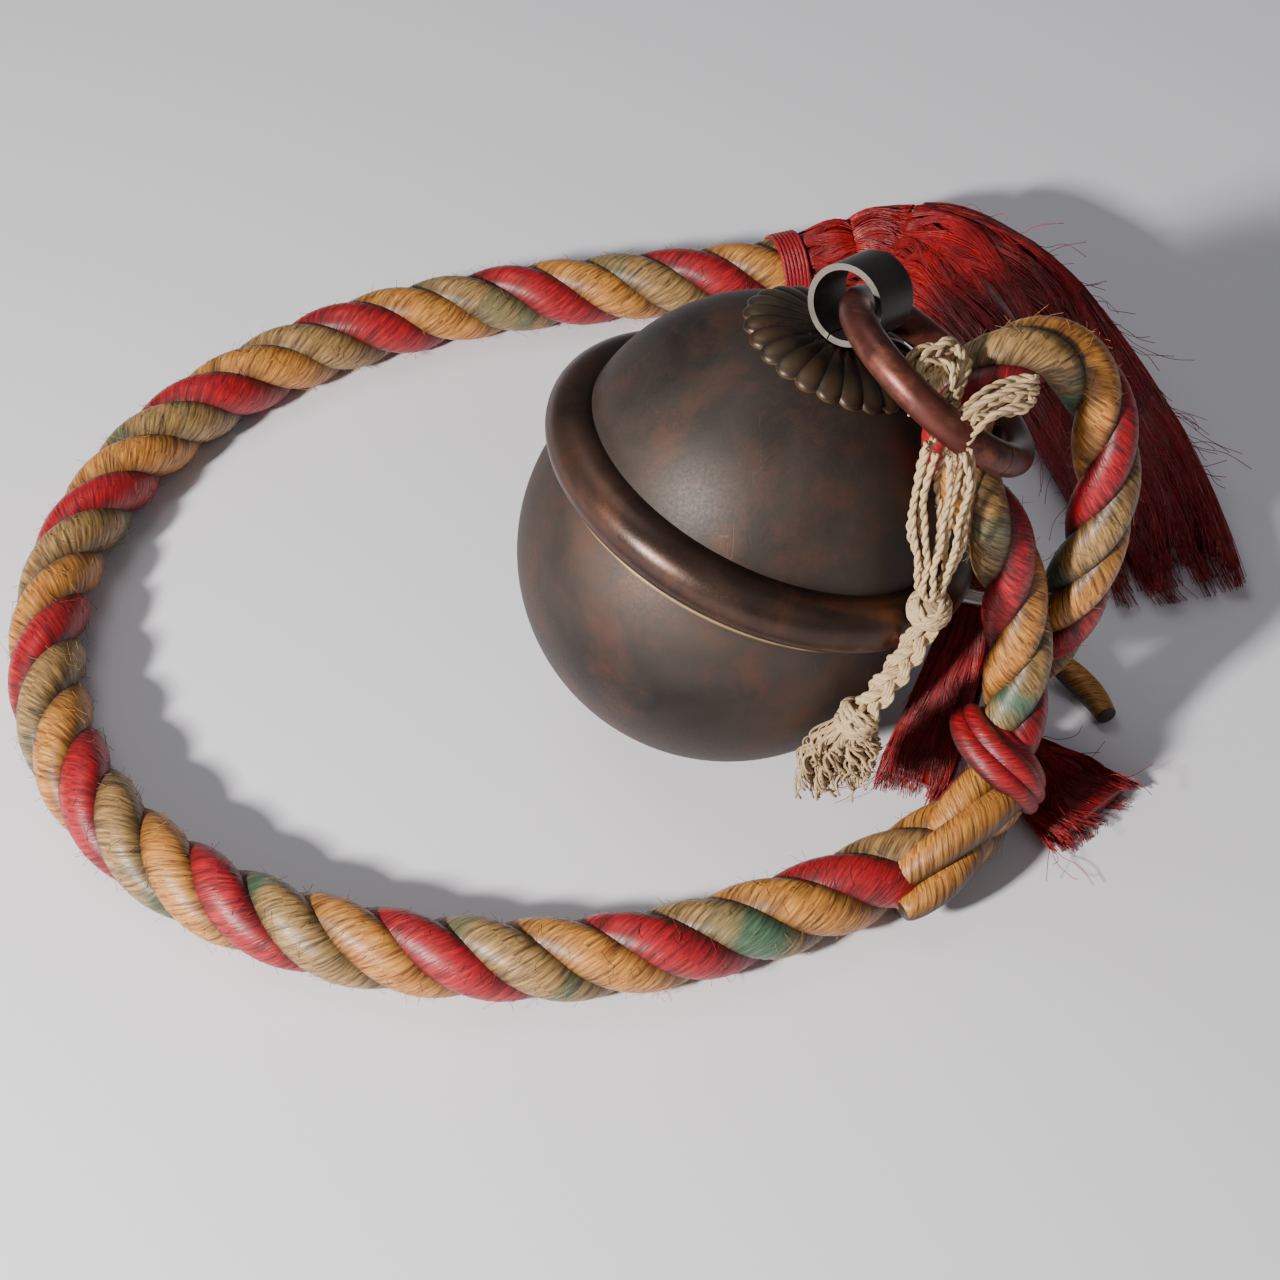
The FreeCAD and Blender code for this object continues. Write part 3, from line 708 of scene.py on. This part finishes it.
def route_line(name, points_mm, step):
    """Evenly spaced points of a smooth curve that has the route's points as its controls."""
    curve = bpy.data.curves.new(name, "CURVE")
    curve.dimensions = "3D"
    curve.resolution_u = 16
    spline = curve.splines.new("NURBS")
    spline.points.add(len(points_mm) - 1)
    for point, place in zip(spline.points, points_mm):
        point.co = (*(value * MM for value in place), 1)
    spline.order_u = 3
    spline.use_endpoint_u = True
    item = bpy.data.objects.new(name, curve)
    bpy.context.scene.collection.objects.link(item)
    bpy.context.view_layer.update()
    mesh = bpy.data.meshes.new_from_object(item)
    line = np.array([vertex.co[:] for vertex in mesh.vertices])
    bpy.data.meshes.remove(mesh)
    bpy.data.objects.remove(item)
    return resample(line, step)


ROPE_STEP = 0.0022
main_line = route_line("main_route", ROPE_MAIN, ROPE_STEP)
eye_line = route_line("eye_route", ROPE_EYE, ROPE_STEP)


def line_length(line):
    return float(np.linalg.norm(np.diff(line, axis=0), axis=1).sum())


print("rope lengths", round(line_length(main_line), 3), round(line_length(eye_line), 3))

# %% Strands
LAY_PITCH = 0.084
STRAND_SIDES = 22
STRAND_OFFSET = 0.46
STRAND_HALF_DEPTH = 0.54
STRAND_HALF_WIDTH = 0.60
OUTER_SIDES = (0, 1, 2, 3, 19, 20, 21)
HAIR_RADIUS = 0.00010
FLOOR_GAP = 0.0002


def wander(count, size, seed, smooth=24):
    """A slow random change along a piece, always the same for the same seed."""
    noise = np.random.default_rng(seed).normal(0, 1, count + 2 * smooth)
    kernel = np.hanning(smooth)
    kernel /= kernel.sum()
    slow = np.convolve(noise, kernel, "same")[smooth:smooth + count]
    return slow / max(slow.std(), 1e-9) * size


def lay_strands(builder, line, radius, phase, first, seed):
    """Three strands wound right-handed round a line; their sizes are shares of its radius.

    Returns each strand's rings of points, its directions and its middle line.
    """
    _, normals, sideways = carry_frame(line, first)
    turn = phase + 2 * math.pi * distances(line) / LAY_PITCH
    angles = np.arange(STRAND_SIDES) * 2 * math.pi / STRAND_SIDES
    surfaces = []
    for number in range(3):
        theta = turn + number * 2 * math.pi / 3 + wander(len(line), 0.05, seed + number)
        out = normals * np.cos(theta)[:, None] + sideways * np.sin(theta)[:, None]
        middle = line + out * (radius * STRAND_OFFSET)[:, None]
        run = unit(np.gradient(middle, axis=0))
        across = unit(np.cross(run, out))
        outward = np.cross(across, run)
        plump = 1 + wander(len(line), 0.02, seed + 10 + number, 40)
        ring = (outward[:, None] * (np.cos(angles)[None, :] * STRAND_HALF_DEPTH)[..., None]
                + across[:, None] * (np.sin(angles)[None, :] * STRAND_HALF_WIDTH)[..., None])
        rings = middle[:, None] + ring * (radius * plump)[:, None, None]
        rings[..., 2] = np.maximum(rings[..., 2], FLOOR_GAP)
        builder.add(rings, distances(middle) + number, 1.0, number)
        surfaces.append((rings, run, middle))
    return surfaces


def fuzz(builder, surfaces, count, seed):
    """Short loose fibres that lie on the strands and lift a little at one end."""
    rng = np.random.default_rng(seed)
    for _ in range(count):
        number = int(rng.integers(0, 3))
        rings, run, middle = surfaces[number]
        start = int(rng.integers(2, len(middle) - 12))
        side = int(rng.choice(OUTER_SIDES))
        home = rings[start, side]
        out = unit(home - middle[start])
        around = unit(np.cross(run[start], out)) * rng.choice((-1.0, 1.0))
        drift = rng.normal(0, 0.35)
        reach = rng.uniform(0.004, 0.011)
        rise = rng.uniform(0.0003, 0.0030)
        path = []
        for share in np.linspace(0, 1, 6):
            path.append(home + around * reach * share * 0.7
                        + run[start] * reach * share * drift
                        + out * (0.0001 + rise * share ** 2 - reach * share ** 2 * 0.12))
        path = np.array(path)
        path[:, 2] = np.maximum(path[:, 2], 2 * FLOOR_GAP)
        builder.tube(path, HAIR_RADIUS, 3, 1.0, number, around=0.0)


ROPE_COLOURS = [GOLD, RED, OLIVE]
EYE_RADIUS = 0.0135
MAIN_RADIUS = 0.0165
EYE_PHASE = 0.6
EYE_START = (1, 0, 0)
SWELL_SHARE = 0.03
EYE_HAIRS = 500
MAIN_HAIRS = 1300
eye_turn_total = 2 * math.pi * line_length(eye_line) / LAY_PITCH
eye_builder = TubeBuilder()
eye_radii = np.full(len(eye_line), EYE_RADIUS)
eye_surfaces = lay_strands(eye_builder, eye_line, eye_radii, EYE_PHASE, EYE_START, 30)
fuzz(eye_builder, eye_surfaces, EYE_HAIRS, 71)
rope_eye = eye_builder.build("spliced_eye", ROPE_COLOURS, None, ["rope_eye"])
eye_end_normal = carry_frame(eye_line, EYE_START)[1][-1]

main_builder = TubeBuilder()
swell = np.clip(np.linspace(0, 1, len(main_line)) / SWELL_SHARE, 0, 1)
main_radii = EYE_RADIUS + (MAIN_RADIUS - EYE_RADIUS) * swell
main_surfaces = lay_strands(main_builder, main_line, main_radii,
                            EYE_PHASE + eye_turn_total, eye_end_normal, 60)
fuzz(main_builder, main_surfaces, MAIN_HAIRS, 72)
rope_main = main_builder.build("laid_rope", ROPE_COLOURS, "bell", ["rope_main"])

# %% [markdown]
# ## The splice
# Where the eye comes back to the rope its strands are tucked through and wrapped over the
# throat: a red strand over the top, a gold one below it, and a gold tail end left poking
# out on the right. The red one is three parallel yarns bent round the rope, the gold one
# three plies twisted together, and the tail a single yarn that narrows at both ends.

# %% Splice strands
TOWARDS_FRONT = np.array([-0.12, -0.70, 0.70])
FRONT_SIDE = (0, -0.7, 0.7)
SPLICE_STEP = 0.0018
GOLD_PLY_OFFSET = 0.0072
GOLD_PLY_RADIUS = 0.0074
GOLD_PLY_TURN = 3.4
TAIL_RADIUS = 0.0059


def wrapped(centre, along, distance, turns, slides):
    """Points of a strand laid round the rope at centre: one for each turn and slide."""
    along = unit(np.array(along, float))
    front = unit(TOWARDS_FRONT - along * (TOWARDS_FRONT @ along))
    left = np.cross(along, front)
    points = []
    for turn, slide in zip(turns, slides):
        angle = math.radians(turn)
        out = front * math.cos(angle) + left * math.sin(angle)
        points.append((np.array(centre, float) + out * distance + along * slide) * MM)
    return np.array(points)


def yarns(builder, line, spread, radius, count, seed):
    """Parallel yarns side by side along a line, pinched together at both ends."""
    line = smooth_line(line, SPLICE_STEP)
    _, normals, sideways = carry_frame(line, FRONT_SIDE)
    share = np.linspace(0, 1, len(line))
    pinch = np.sin(share * math.pi) ** 0.5
    for number in range(count):
        offset = (number - (count - 1) / 2) * spread
        path = line + sideways * (offset * (0.55 + 0.45 * pinch))[:, None]
        path = path + normals * (wander(len(line), 0.0003, seed + number)
                                 - abs(offset) * 0.25)[:, None]
        builder.tube(path, radius * (0.62 + 0.38 * pinch), 18)


red_splice = TubeBuilder()
yarns(red_splice, wrapped(THROAT, (-0.28, -0.60, -0.75), 17.6, (84, 62, 34, 0, -34, -62, -84),
                          (-13, -10, -5, 0, 5, 10, 13)), 0.0066, 0.0052, 3, 5)
splice_red = red_splice.build("splice_red", [RED], "bell", ["splice_red_strand"])
gold_splice = TubeBuilder()
gold_line = smooth_line(wrapped(
    (88, -92, LAID), (-0.83, -0.56, -0.08), 13.5,
    (58, 44, 22, 0, -22, -44, -58), (-38, -28, -14, 0, 14, 28, 38)), SPLICE_STEP)
_, gold_normals, gold_sideways = carry_frame(gold_line, FRONT_SIDE)
gold_share = np.linspace(0, 1, len(gold_line))
gold_pinch = 0.55 + 0.45 * np.sin(gold_share * math.pi) ** 0.5
for ply in range(3):
    turn = 0.4 + ply * 2 * math.pi / 3 + gold_share * GOLD_PLY_TURN
    ply_line = gold_line + (gold_normals * np.cos(turn)[:, None]
                            + gold_sideways * np.sin(turn)[:, None]) * GOLD_PLY_OFFSET
    gold_splice.tube(ply_line, GOLD_PLY_RADIUS * gold_pinch, 20)
splice_gold = gold_splice.build("splice_gold", [GOLD], "bell", ["splice_gold_strand"])
tail_builder = TubeBuilder()
tail_line = smooth_line(np.array([(137, 10, 15), (147, 4, 9), (156, -6, 6.2),
                                  (160, -18, 6.2)]) * MM, SPLICE_STEP)
tail_share = np.linspace(0, 1, len(tail_line))
tail_builder.tube(tail_line, TAIL_RADIUS * (0.75 + 0.25 * np.sin(tail_share * math.pi)), 18)
splice_tail = tail_builder.build("splice_tail", [GOLD], "bell", ["splice_gold_tail"])

# %% [markdown]
# ## Hemp cords
# Thin two-ply hemp cord is wound eight times round the hidden side of the ring, stands up
# from it in two bunches of loops, and hangs down in a bundle to a knot, a short braid, a
# second knot and a frayed end. Each cord is two plies wound round a line.


# %% Plied cord
CORD_RADIUS = 1.45
PLY_OFFSET = 0.45
PLY_RADIUS = 0.58
PLY_PITCH = 0.011
HEMP_STEP = 0.0012


def plied(builder, line, seed):
    """Two plies wound round a line; their sizes are shares of the cord's radius."""
    line = np.asarray(line, float)
    radius = CORD_RADIUS * MM
    _, normals, sideways = carry_frame(line)
    turn = 2 * math.pi * distances(line) / PLY_PITCH + seed
    for ply in range(2):
        angle = turn + ply * math.pi
        middle = line + (normals * np.cos(angle)[:, None]
                         + sideways * np.sin(angle)[:, None]) * radius * PLY_OFFSET
        builder.tube(middle, radius * PLY_RADIUS, 8)


# %% Hitch round the ring
RING_RADIUS = 41.0
ROD_RADIUS = 3.3
HITCH_TURNS = 8
HITCH_START = -79
HITCH_GAP = 3.4
HITCH_DRIFT = 3.0
WRAP_FROM = 88
WRAP_SWEEP = 214
WRAP_STEPS = 24
ring_out = (ring_centre - eye_centre).normalized()
ring_across = ring_normal.cross(ring_out)


def ring_point(degrees, radius_mm, lift_mm):
    """A point by the ring: degrees round it from its outermost point, from its centre."""
    angle = math.radians(degrees)
    place = ring_out * math.cos(angle) + ring_across * math.sin(angle)
    return np.array(ring_centre + place * radius_mm * MM + ring_normal * lift_mm * MM)


hitch = TubeBuilder()
for number in range(HITCH_TURNS):
    start = HITCH_START + number * HITCH_GAP
    winding = []
    for step in range(WRAP_STEPS + 1):
        angle = math.radians(WRAP_FROM + step / WRAP_STEPS * WRAP_SWEEP)
        reach = ROD_RADIUS + CORD_RADIUS
        winding.append(ring_point(start + HITCH_DRIFT * step / WRAP_STEPS,
                                  RING_RADIUS + reach * math.cos(angle),
                                  reach * math.sin(angle)))
    plied(hitch, resample(winding, HEMP_STEP), number)
ring_hitch = hitch.build("ring_hitch", [HEMP], "ring", ["hemp_ring_hitch"])

# %% Loops above the ring
LOBES = [
    [(70, -50, 205), (66, -38, 211), (69, -28, 215), (77, -23, 215), (83, -24, 211),
     (83, -34, 207), (77, -46, 204)],
    [(72, -52, 204), (66, -42, 208), (67, -33, 212), (74, -29, 212), (79, -33, 208),
     (78, -44, 204)],
    [(66, -46, 202), (61, -37, 207), (63, -28, 212), (70, -25, 214), (75, -31, 211),
     (71, -42, 206)],
    [(80, -54, 203), (90, -47, 206), (101, -43, 207), (109, -37, 206), (108, -31, 204),
     (99, -33, 204), (88, -42, 203), (80, -50, 202)],
    [(82, -57, 200), (92, -50, 203), (101, -47, 204), (106, -41, 204), (100, -38, 203),
     (90, -46, 201)],
]
LOBE_SCATTER = 1.7
LOBE_DROP = 1.2
lobes = TubeBuilder()
lobe_rng = np.random.default_rng(17)
for number, points in enumerate(LOBES):
    for twin in range(4):
        shift = lobe_rng.normal(0, LOBE_SCATTER, (len(points), 3))
        path = np.array(points, float) + shift - (0, 0, LOBE_DROP * twin)
        plied(lobes, smooth_line(path * MM, HEMP_STEP), number)
ring_lobes = lobes.build("ring_lobes", [HEMP], "ring", ["hemp_lobes"])

# %% Hanging cords
HANG_TOP = np.array((75.5, -59, 190.0))
HANG_FOOT = np.array((73.6, -68, 128.0))
HANGING = 10
hanging_lines = []
hang_rng = np.random.default_rng(23)
for number in range(HANGING):
    angle = 2 * math.pi * (number + 0.5) / HANGING
    spread = np.array((math.cos(angle), math.sin(angle), 0))
    top = HANG_TOP + spread * (8, 5, 4) + (0, 0, 5)
    foot = HANG_FOOT + spread * 3.6
    points = [top]
    for share in (0.15, 0.3, 0.45, 0.6, 0.75, 0.9):
        full = 1.0 + 0.9 * math.sin(math.pi * min(1, share * 1.15))
        kink = hang_rng.normal(0, 1.1, 3) * (1, 0.7, 0.3)
        points.append(top * (1 - share) + foot * share + spread * (full * 2.2, 1.5, 0) + kink)
    points.append(foot)
    hanging_lines.append(smooth_line(np.array(points) * MM, HEMP_STEP))
hanging = TubeBuilder()
for number, line in enumerate(hanging_lines):
    plied(hanging, line, number)
hanging_cords = hanging.build("hanging_cords", [HEMP], None, ["hemp_hanging_cords"])

# %% [markdown]
# ## Knots, braid and frayed end
# The bundle is tied in a round knot, plaited for a few centimetres, tied again, and left to
# fray. A knot could be a real path of cord over and under itself, but only its outside is
# seen, so turns of cord lie at several tilts round a core that is painted darker as the
# shade inside the knot. The frayed end is loose curling fibres that leave the second knot
# and spread as they fall.

# %% Knots and braid
KNOT_RADIUS = 9.5
KNOT_TURNS = 11
BRAID_TURNS = 1.35
CORD_GAP = 0.0012


def knot(builder, centre, seed):
    """A round knot: turns of cord at several tilts round a small core painted dark as shade."""
    radius = KNOT_RADIUS
    rng = np.random.default_rng(seed)
    centre = np.array(centre, float)
    angles = np.linspace(0, 2 * math.pi, 40)
    core = [centre + (0, 0, z) for z in np.linspace(-0.6, 0.6, 9) * radius]
    heights = np.linspace(-1, 1, 9)
    # Painted shade: the core gets shade 0.5, darker like the shaded inside of the knot.
    builder.tube(np.array(core) * MM, radius * 0.74 * np.sqrt(1.05 - heights ** 2) * MM, 16,
                 0.5)
    for turn in range(KNOT_TURNS):
        axis = unit(np.array((rng.uniform(-0.9, 0.9), rng.uniform(-0.5, 0.5), 1.0)))
        first = unit(np.cross(axis, (0.3, 1, 0.2)))
        second = np.cross(axis, first)
        shift = axis * rng.uniform(-0.42, 0.42) * radius
        reach = math.sqrt(max(radius ** 2 * 0.62 - shift @ shift * 0.9, 4))
        ring = [centre + shift + (first * math.cos(a) + second * math.sin(a)) * reach
                for a in angles]
        plied(builder, resample(np.array(ring) * MM, HEMP_STEP), turn)


def braid(builder, points, width, seed):
    """Three strands of three cords plaited over and under each other along a line."""
    line = smooth_line(np.array(points, float) * MM, HEMP_STEP)
    _, normals, sideways = carry_frame(line, FRONT_SIDE)
    run = np.linspace(0, 2 * math.pi * BRAID_TURNS, len(line))
    for strand in range(3):
        phase = strand * 2 * math.pi / 3
        side = np.sin(run + phase) * width
        over = np.sin(2 * (run + phase)) * width * 0.5
        path = line + sideways * side[:, None] * MM + normals * over[:, None] * MM
        for twin in (-1, 0, 1):
            plied(builder, path + sideways * twin * CORD_GAP, seed + strand)


upper = TubeBuilder()
knot(upper, (73.6, -69, 121.5), 3)
upper_knot = upper.build("upper_knot", [HEMP], "bell", ["hemp_upper_knot"])
plait = TubeBuilder()
braid(plait, [(72, -71.5, 116), (71, -73, 113), (65.5, -77.5, 104), (59, -81, 94),
              (53.5, -83.5, 85.5), (51, -84, 81)], 3.6, 1)
hemp_plait = plait.build("hemp_plait", [HEMP], "bell", ["hemp_braid"])
lower = TubeBuilder()
knot(lower, (48, -84, 77), 9)
lower_knot = lower.build("lower_knot", [HEMP], "bell", ["hemp_lower_knot"])

# %% Frayed end
FRAYED_FIBRES = 150
FRAYED_STEPS = 34
frayed = TubeBuilder()
fray_rng = np.random.default_rng(21)
for number in range(FRAYED_FIBRES):
    side = fray_rng.uniform(-1, 1)
    depth = fray_rng.uniform(-1, 1)
    reach = fray_rng.uniform(0.55, 1.0)
    top = np.array((47 + side * 5, -85 + depth * 4, 76))
    foot = np.array((40 + side * 13, -87 + depth * 7, 74 - 34 * reach))
    curl = fray_rng.uniform(1.2, 3.0)
    turns = fray_rng.uniform(1.2, 3.2)
    start = fray_rng.uniform(0, 2 * math.pi)
    path = []
    for share in np.linspace(0, 1, FRAYED_STEPS):
        place = top * (1 - share) + foot * share
        place[0] += side * 4 * math.sin(share * math.pi)
        angle = start + share * turns * 2 * math.pi
        sway = curl * min(1.0, share * 3)
        path.append(place + (sway * math.cos(angle), sway * math.sin(angle) * 0.8,
                             sway * 0.4 * math.sin(angle * 1.3)))
    thickness = fray_rng.uniform(0.35, 0.85)
    frayed.tube(np.array(path) * MM, thickness * MM * np.linspace(1.3, 0.7, FRAYED_STEPS),
                5, fray_rng.uniform(0.45, 1.0))
frayed_end = frayed.build("frayed_end", [HEMP], "bell", ["hemp_frayed_end"])

# %% [markdown]
# ## Tassels
# A tassel is hundreds of red fibres that leave a tied neck and fall together. A solid core
# in the fibre finish, painted darker as the shade inside the bundle, stops the floor from
# showing through, and loose fibres lie along its surface in locks; each one follows the
# core's sections from neck to tip, keeping its own place in the oval, with a slow sideways
# wave. A few strays leave the bundle.


# %% Sections along a tassel
TASSEL_FLOOR = 0.4
STRAY_RADIUS = 0.17


def section_frames(sections, count):
    """Centres, side and up directions and half sizes along a tassel, evenly spaced."""
    rows = np.array([(*centre, wide, high) for centre, wide, high in sections], float)
    share = np.linspace(0, 1, len(rows))
    wanted = np.linspace(0, 1, count)
    smooth = np.stack([np.interp(wanted, share, rows[:, i]) for i in range(5)], 1)
    window = max(3, count // (len(rows) * 2)) | 1
    kernel = np.hanning(window + 2)[1:-1]
    kernel /= kernel.sum()
    pad = window // 2
    padded = np.vstack([smooth[:1]] * pad + [smooth] + [smooth[-1:]] * pad)
    for column in range(5):
        smooth[:, column] = np.convolve(padded[:, column], kernel, "valid")
    centres = smooth[:, :3]
    tangents = unit(np.gradient(centres, axis=0))
    up = np.tile(np.array((0.0, 0.0, 1.0)), (count, 1))
    flat_runs = np.abs(tangents[:, 2]) > 0.9
    up[flat_runs] = (0.0, 1.0, 0.0)
    sides = unit(np.cross(tangents, up))
    rises = np.cross(sides, tangents)
    return centres, sides, rises, smooth[:, 3], smooth[:, 4]


# %% Cores, fibres and strays
def tassel(name, sections, count, nodes, seed, radius, strays, locks, ends=1.0,
           core_sides=44, steps=27, wave=1.0, open_end=True):
    """Locks of fibres over a core painted dark as shade; the locks end at different lengths."""
    builder = TubeBuilder()
    centres, sides, rises, wide, high = section_frames(sections, steps)
    rng = np.random.default_rng(seed)
    angles = np.arange(core_sides) * 2 * math.pi / core_sides
    lumps = 1 + 0.03 * np.sin(angles * 7 + 1) + 0.02 * np.sin(angles * 13 + 2)
    core_end = int(steps * 0.9) if open_end else steps
    thin = np.linspace(0, 1, steps)[:core_end, None, None]
    slim = 0.90 - (0.28 * thin ** 4 if open_end else 0)
    rings = (centres[:core_end, None]
             + sides[:core_end, None] * (np.cos(angles) * lumps)[None, :, None]
             * wide[:core_end, None, None] * slim
             + rises[:core_end, None] * (np.sin(angles) * lumps)[None, :, None]
             * high[:core_end, None, None] * slim)
    rings[..., 2] = np.maximum(rings[..., 2], TASSEL_FLOOR)
    # Painted shade: the core gets shade 0.25, so it is darkened like the shaded inside of the bundle.
    builder.add(rings * MM, (distances(centres) * MM)[:core_end], 0.25)
    homes = [(2 * math.pi * (k + rng.uniform(-0.4, 0.4)) / locks, rng.uniform(0.93, 1.04),
              rng.normal(0, 0.13), rng.uniform(2, 7), rng.uniform(0, 6),
              rng.uniform(0.86, 1.0), rng.uniform(0.45, 1.0)) for k in range(locks)]
    for number in range(count):
        home, lift, drift, pace, phase, end, tone = homes[number % locks]
        last = steps
        if open_end:
            last = max(6, min(steps, int(steps * (end + rng.uniform(-0.10, 0.06)))))
        share = np.linspace(0, 1, steps)[:last]
        spread = rng.normal(0, 2.0 / locks)
        fray = rng.normal(0, 0.10) * share ** 3
        swing = (home + spread + drift * share + fray
                 + 0.10 * wave * np.sin(share * pace * 2.2 + phase)
                 + 0.035 * np.sin(share * rng.uniform(8, 24) + rng.uniform(0, 6)))
        far = (lift - 1.6 * (spread * locks / 6) ** 2 * 0.05
               + 0.03 * np.sin(share * pace * 1.4 + phase + 1)
               + rng.uniform(-0.02, 0.02))
        path = (centres[:last] + sides[:last] * (np.cos(swing) * far * wide[:last])[:, None]
                + rises[:last] * (np.sin(swing) * far * high[:last])[:, None])
        if open_end:
            path[:, 2] -= share ** 6 * rng.uniform(0, 0.5) * path[:, 2]
        path[:, 2] = np.maximum(path[:, 2], TASSEL_FLOOR + radius)
        builder.tube(path * MM, radius * MM * np.linspace(1.0, 0.6, last), 3,
                     min(1.0, tone * rng.uniform(0.55, 1.15)))
    for number in range(strays):
        start = int(rng.integers(int(steps * 0.15), int(steps * 0.85)))
        angle = rng.uniform(-0.3, math.pi + 0.3)
        home = (centres[start] + sides[start] * math.cos(angle) * wide[start]
                + rises[start] * math.sin(angle) * high[start])
        out = sides[start] * math.cos(angle) + rises[start] * 0.35 * math.sin(angle)
        run = unit(centres[min(start + 2, steps - 1)] - centres[start])
        reach = rng.uniform(14, 38) * (1.5 if ends > 1.35 and number % 4 == 0 else 1.0)
        curl = rng.normal(0, 0.5)
        points = [home]
        for share in (0.25, 0.5, 0.75, 1.0):
            bend = rng.normal(0, 2.2, 3)
            points.append(home + run * reach * share
                          + out * 10 * share ** 2 * ends * (1 + curl) + bend)
        path = smooth_line(np.array(points), 1.5)
        path[:, 2] = np.maximum(path[:, 2], TASSEL_FLOOR + 0.2)
        builder.tube(path * MM, STRAY_RADIUS * MM, 3, 0.9)
    piece = builder.build(name, [TASSEL], "bell", nodes)
    return piece


HEAD = [((44, 269.4, 18.5), 15, 15), ((52, 272, 19.5), 17, 16), ((60, 274, 20.5), 19, 18),
        ((68, 276, 20), 18, 16), ((78, 277, 22), 22, 20), ((90, 276.5, 22), 24, 20.5),
        ((98, 275, 23), 23, 21)]
SKIRT = [((97, 275.2, 23), 23, 21), ((108, 269, 24.5), 27, 23.5), ((119, 259, 25.5), 29, 24),
         ((138, 235, 26), 32, 24.5), ((155, 204, 25), 32, 23), ((171, 166, 22), 32, 20),
         ((184, 126, 19), 31, 17), ((194, 86, 15), 30, 13), ((202, 50, 10), 28, 8)]
tassel_head = tassel("tassel_head", HEAD, 520, ["rope_tassel_head"], 4, radius=0.36,
                     strays=0, locks=26, open_end=False)
tassel("tassel_skirt", SKIRT, 1150, ["rope_tassel_skirt"], 5, radius=0.40, strays=20,
       locks=52, core_sides=56, ends=1.3, wave=1.7)
tassel("tassel_skirt_over", SKIRT, 1150, ["rope_tassel_skirt"], 15, radius=0.26, strays=80,
       locks=38, core_sides=20, ends=1.4, wave=2.4)

# %% The small tassel
tassel("small_tassel_top", [
    ((105, -1, 82), 5, 5), ((104, -3, 77), 8.5, 8), ((100.6, -5, 71.6), 6.5, 6)],
    150, ["small_tassel_head"], 6, radius=0.25, strays=0, locks=12, steps=20, open_end=False)
tassel("small_tassel_fall", [
    ((98.8, -8.6, 64.6), 7, 6), ((95, -22, 48), 12, 8), ((87, -38, 30), 14, 9),
    ((79, -52, 16), 15, 8), ((73, -64, 7.5), 14, 5)],
    620, ["small_tassel_skirt"], 7, radius=0.3, strays=16, locks=22)
tassel("small_tassel_spread_out", [
    ((112, -34, 7), 10, 6.5), ((126, -48, 7), 17, 6.5), ((140, -62, 6.5), 23, 6),
    ((153, -76, 5.5), 26, 5)],
    620, ["small_tassel_spread"], 8, radius=0.28, strays=16, locks=24, ends=1.3, wave=1.6)

# %% [markdown]
# ## Bindings
# A red cord is wound seven times round the rope's end above the big tassel, and a white
# thread six times round the small tassel's neck. Both are one tube along a coil.


# %% Coils
def coil_line(start, run, radius, pitch, turns, steps):
    """Points, in millimetres, of a coil that starts at start and moves on along run."""
    run = unit(np.array(run))
    side = unit(np.cross(run, (0, 0, 1)))
    up = np.cross(side, run)
    points = []
    for step in range(steps * turns):
        angle = step / steps * 2 * math.pi
        points.append(np.array(start) + run * step / steps * pitch
                      + (side * math.cos(angle) + up * math.sin(angle)) * radius)
    return np.array(points)


binding = TubeBuilder()
binding.tube(coil_line((30.5, 265.5, LAID + 0.6), (12.0, 4.0, 0.2), radius=16.9, pitch=1.85,
                       turns=7, steps=24) * MM, 0.0011, 8)
rope_binding = binding.build("rope_binding", [BOUND_RED], "bell", ["tassel_binding"])
neck = TubeBuilder()
neck.tube(coil_line((100.3, -5.4, 70.0), (-5.0, -12.0, -20.0), radius=6.7, pitch=0.8,
                    turns=6, steps=20) * MM, 0.0005, 6)
neck_thread = neck.build("neck_thread", [THREAD], "bell", ["small_tassel_thread"])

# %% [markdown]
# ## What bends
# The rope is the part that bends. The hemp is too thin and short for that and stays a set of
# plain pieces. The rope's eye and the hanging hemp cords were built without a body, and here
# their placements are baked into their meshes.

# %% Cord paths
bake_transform(rope_eye)
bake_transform(hanging_cords)
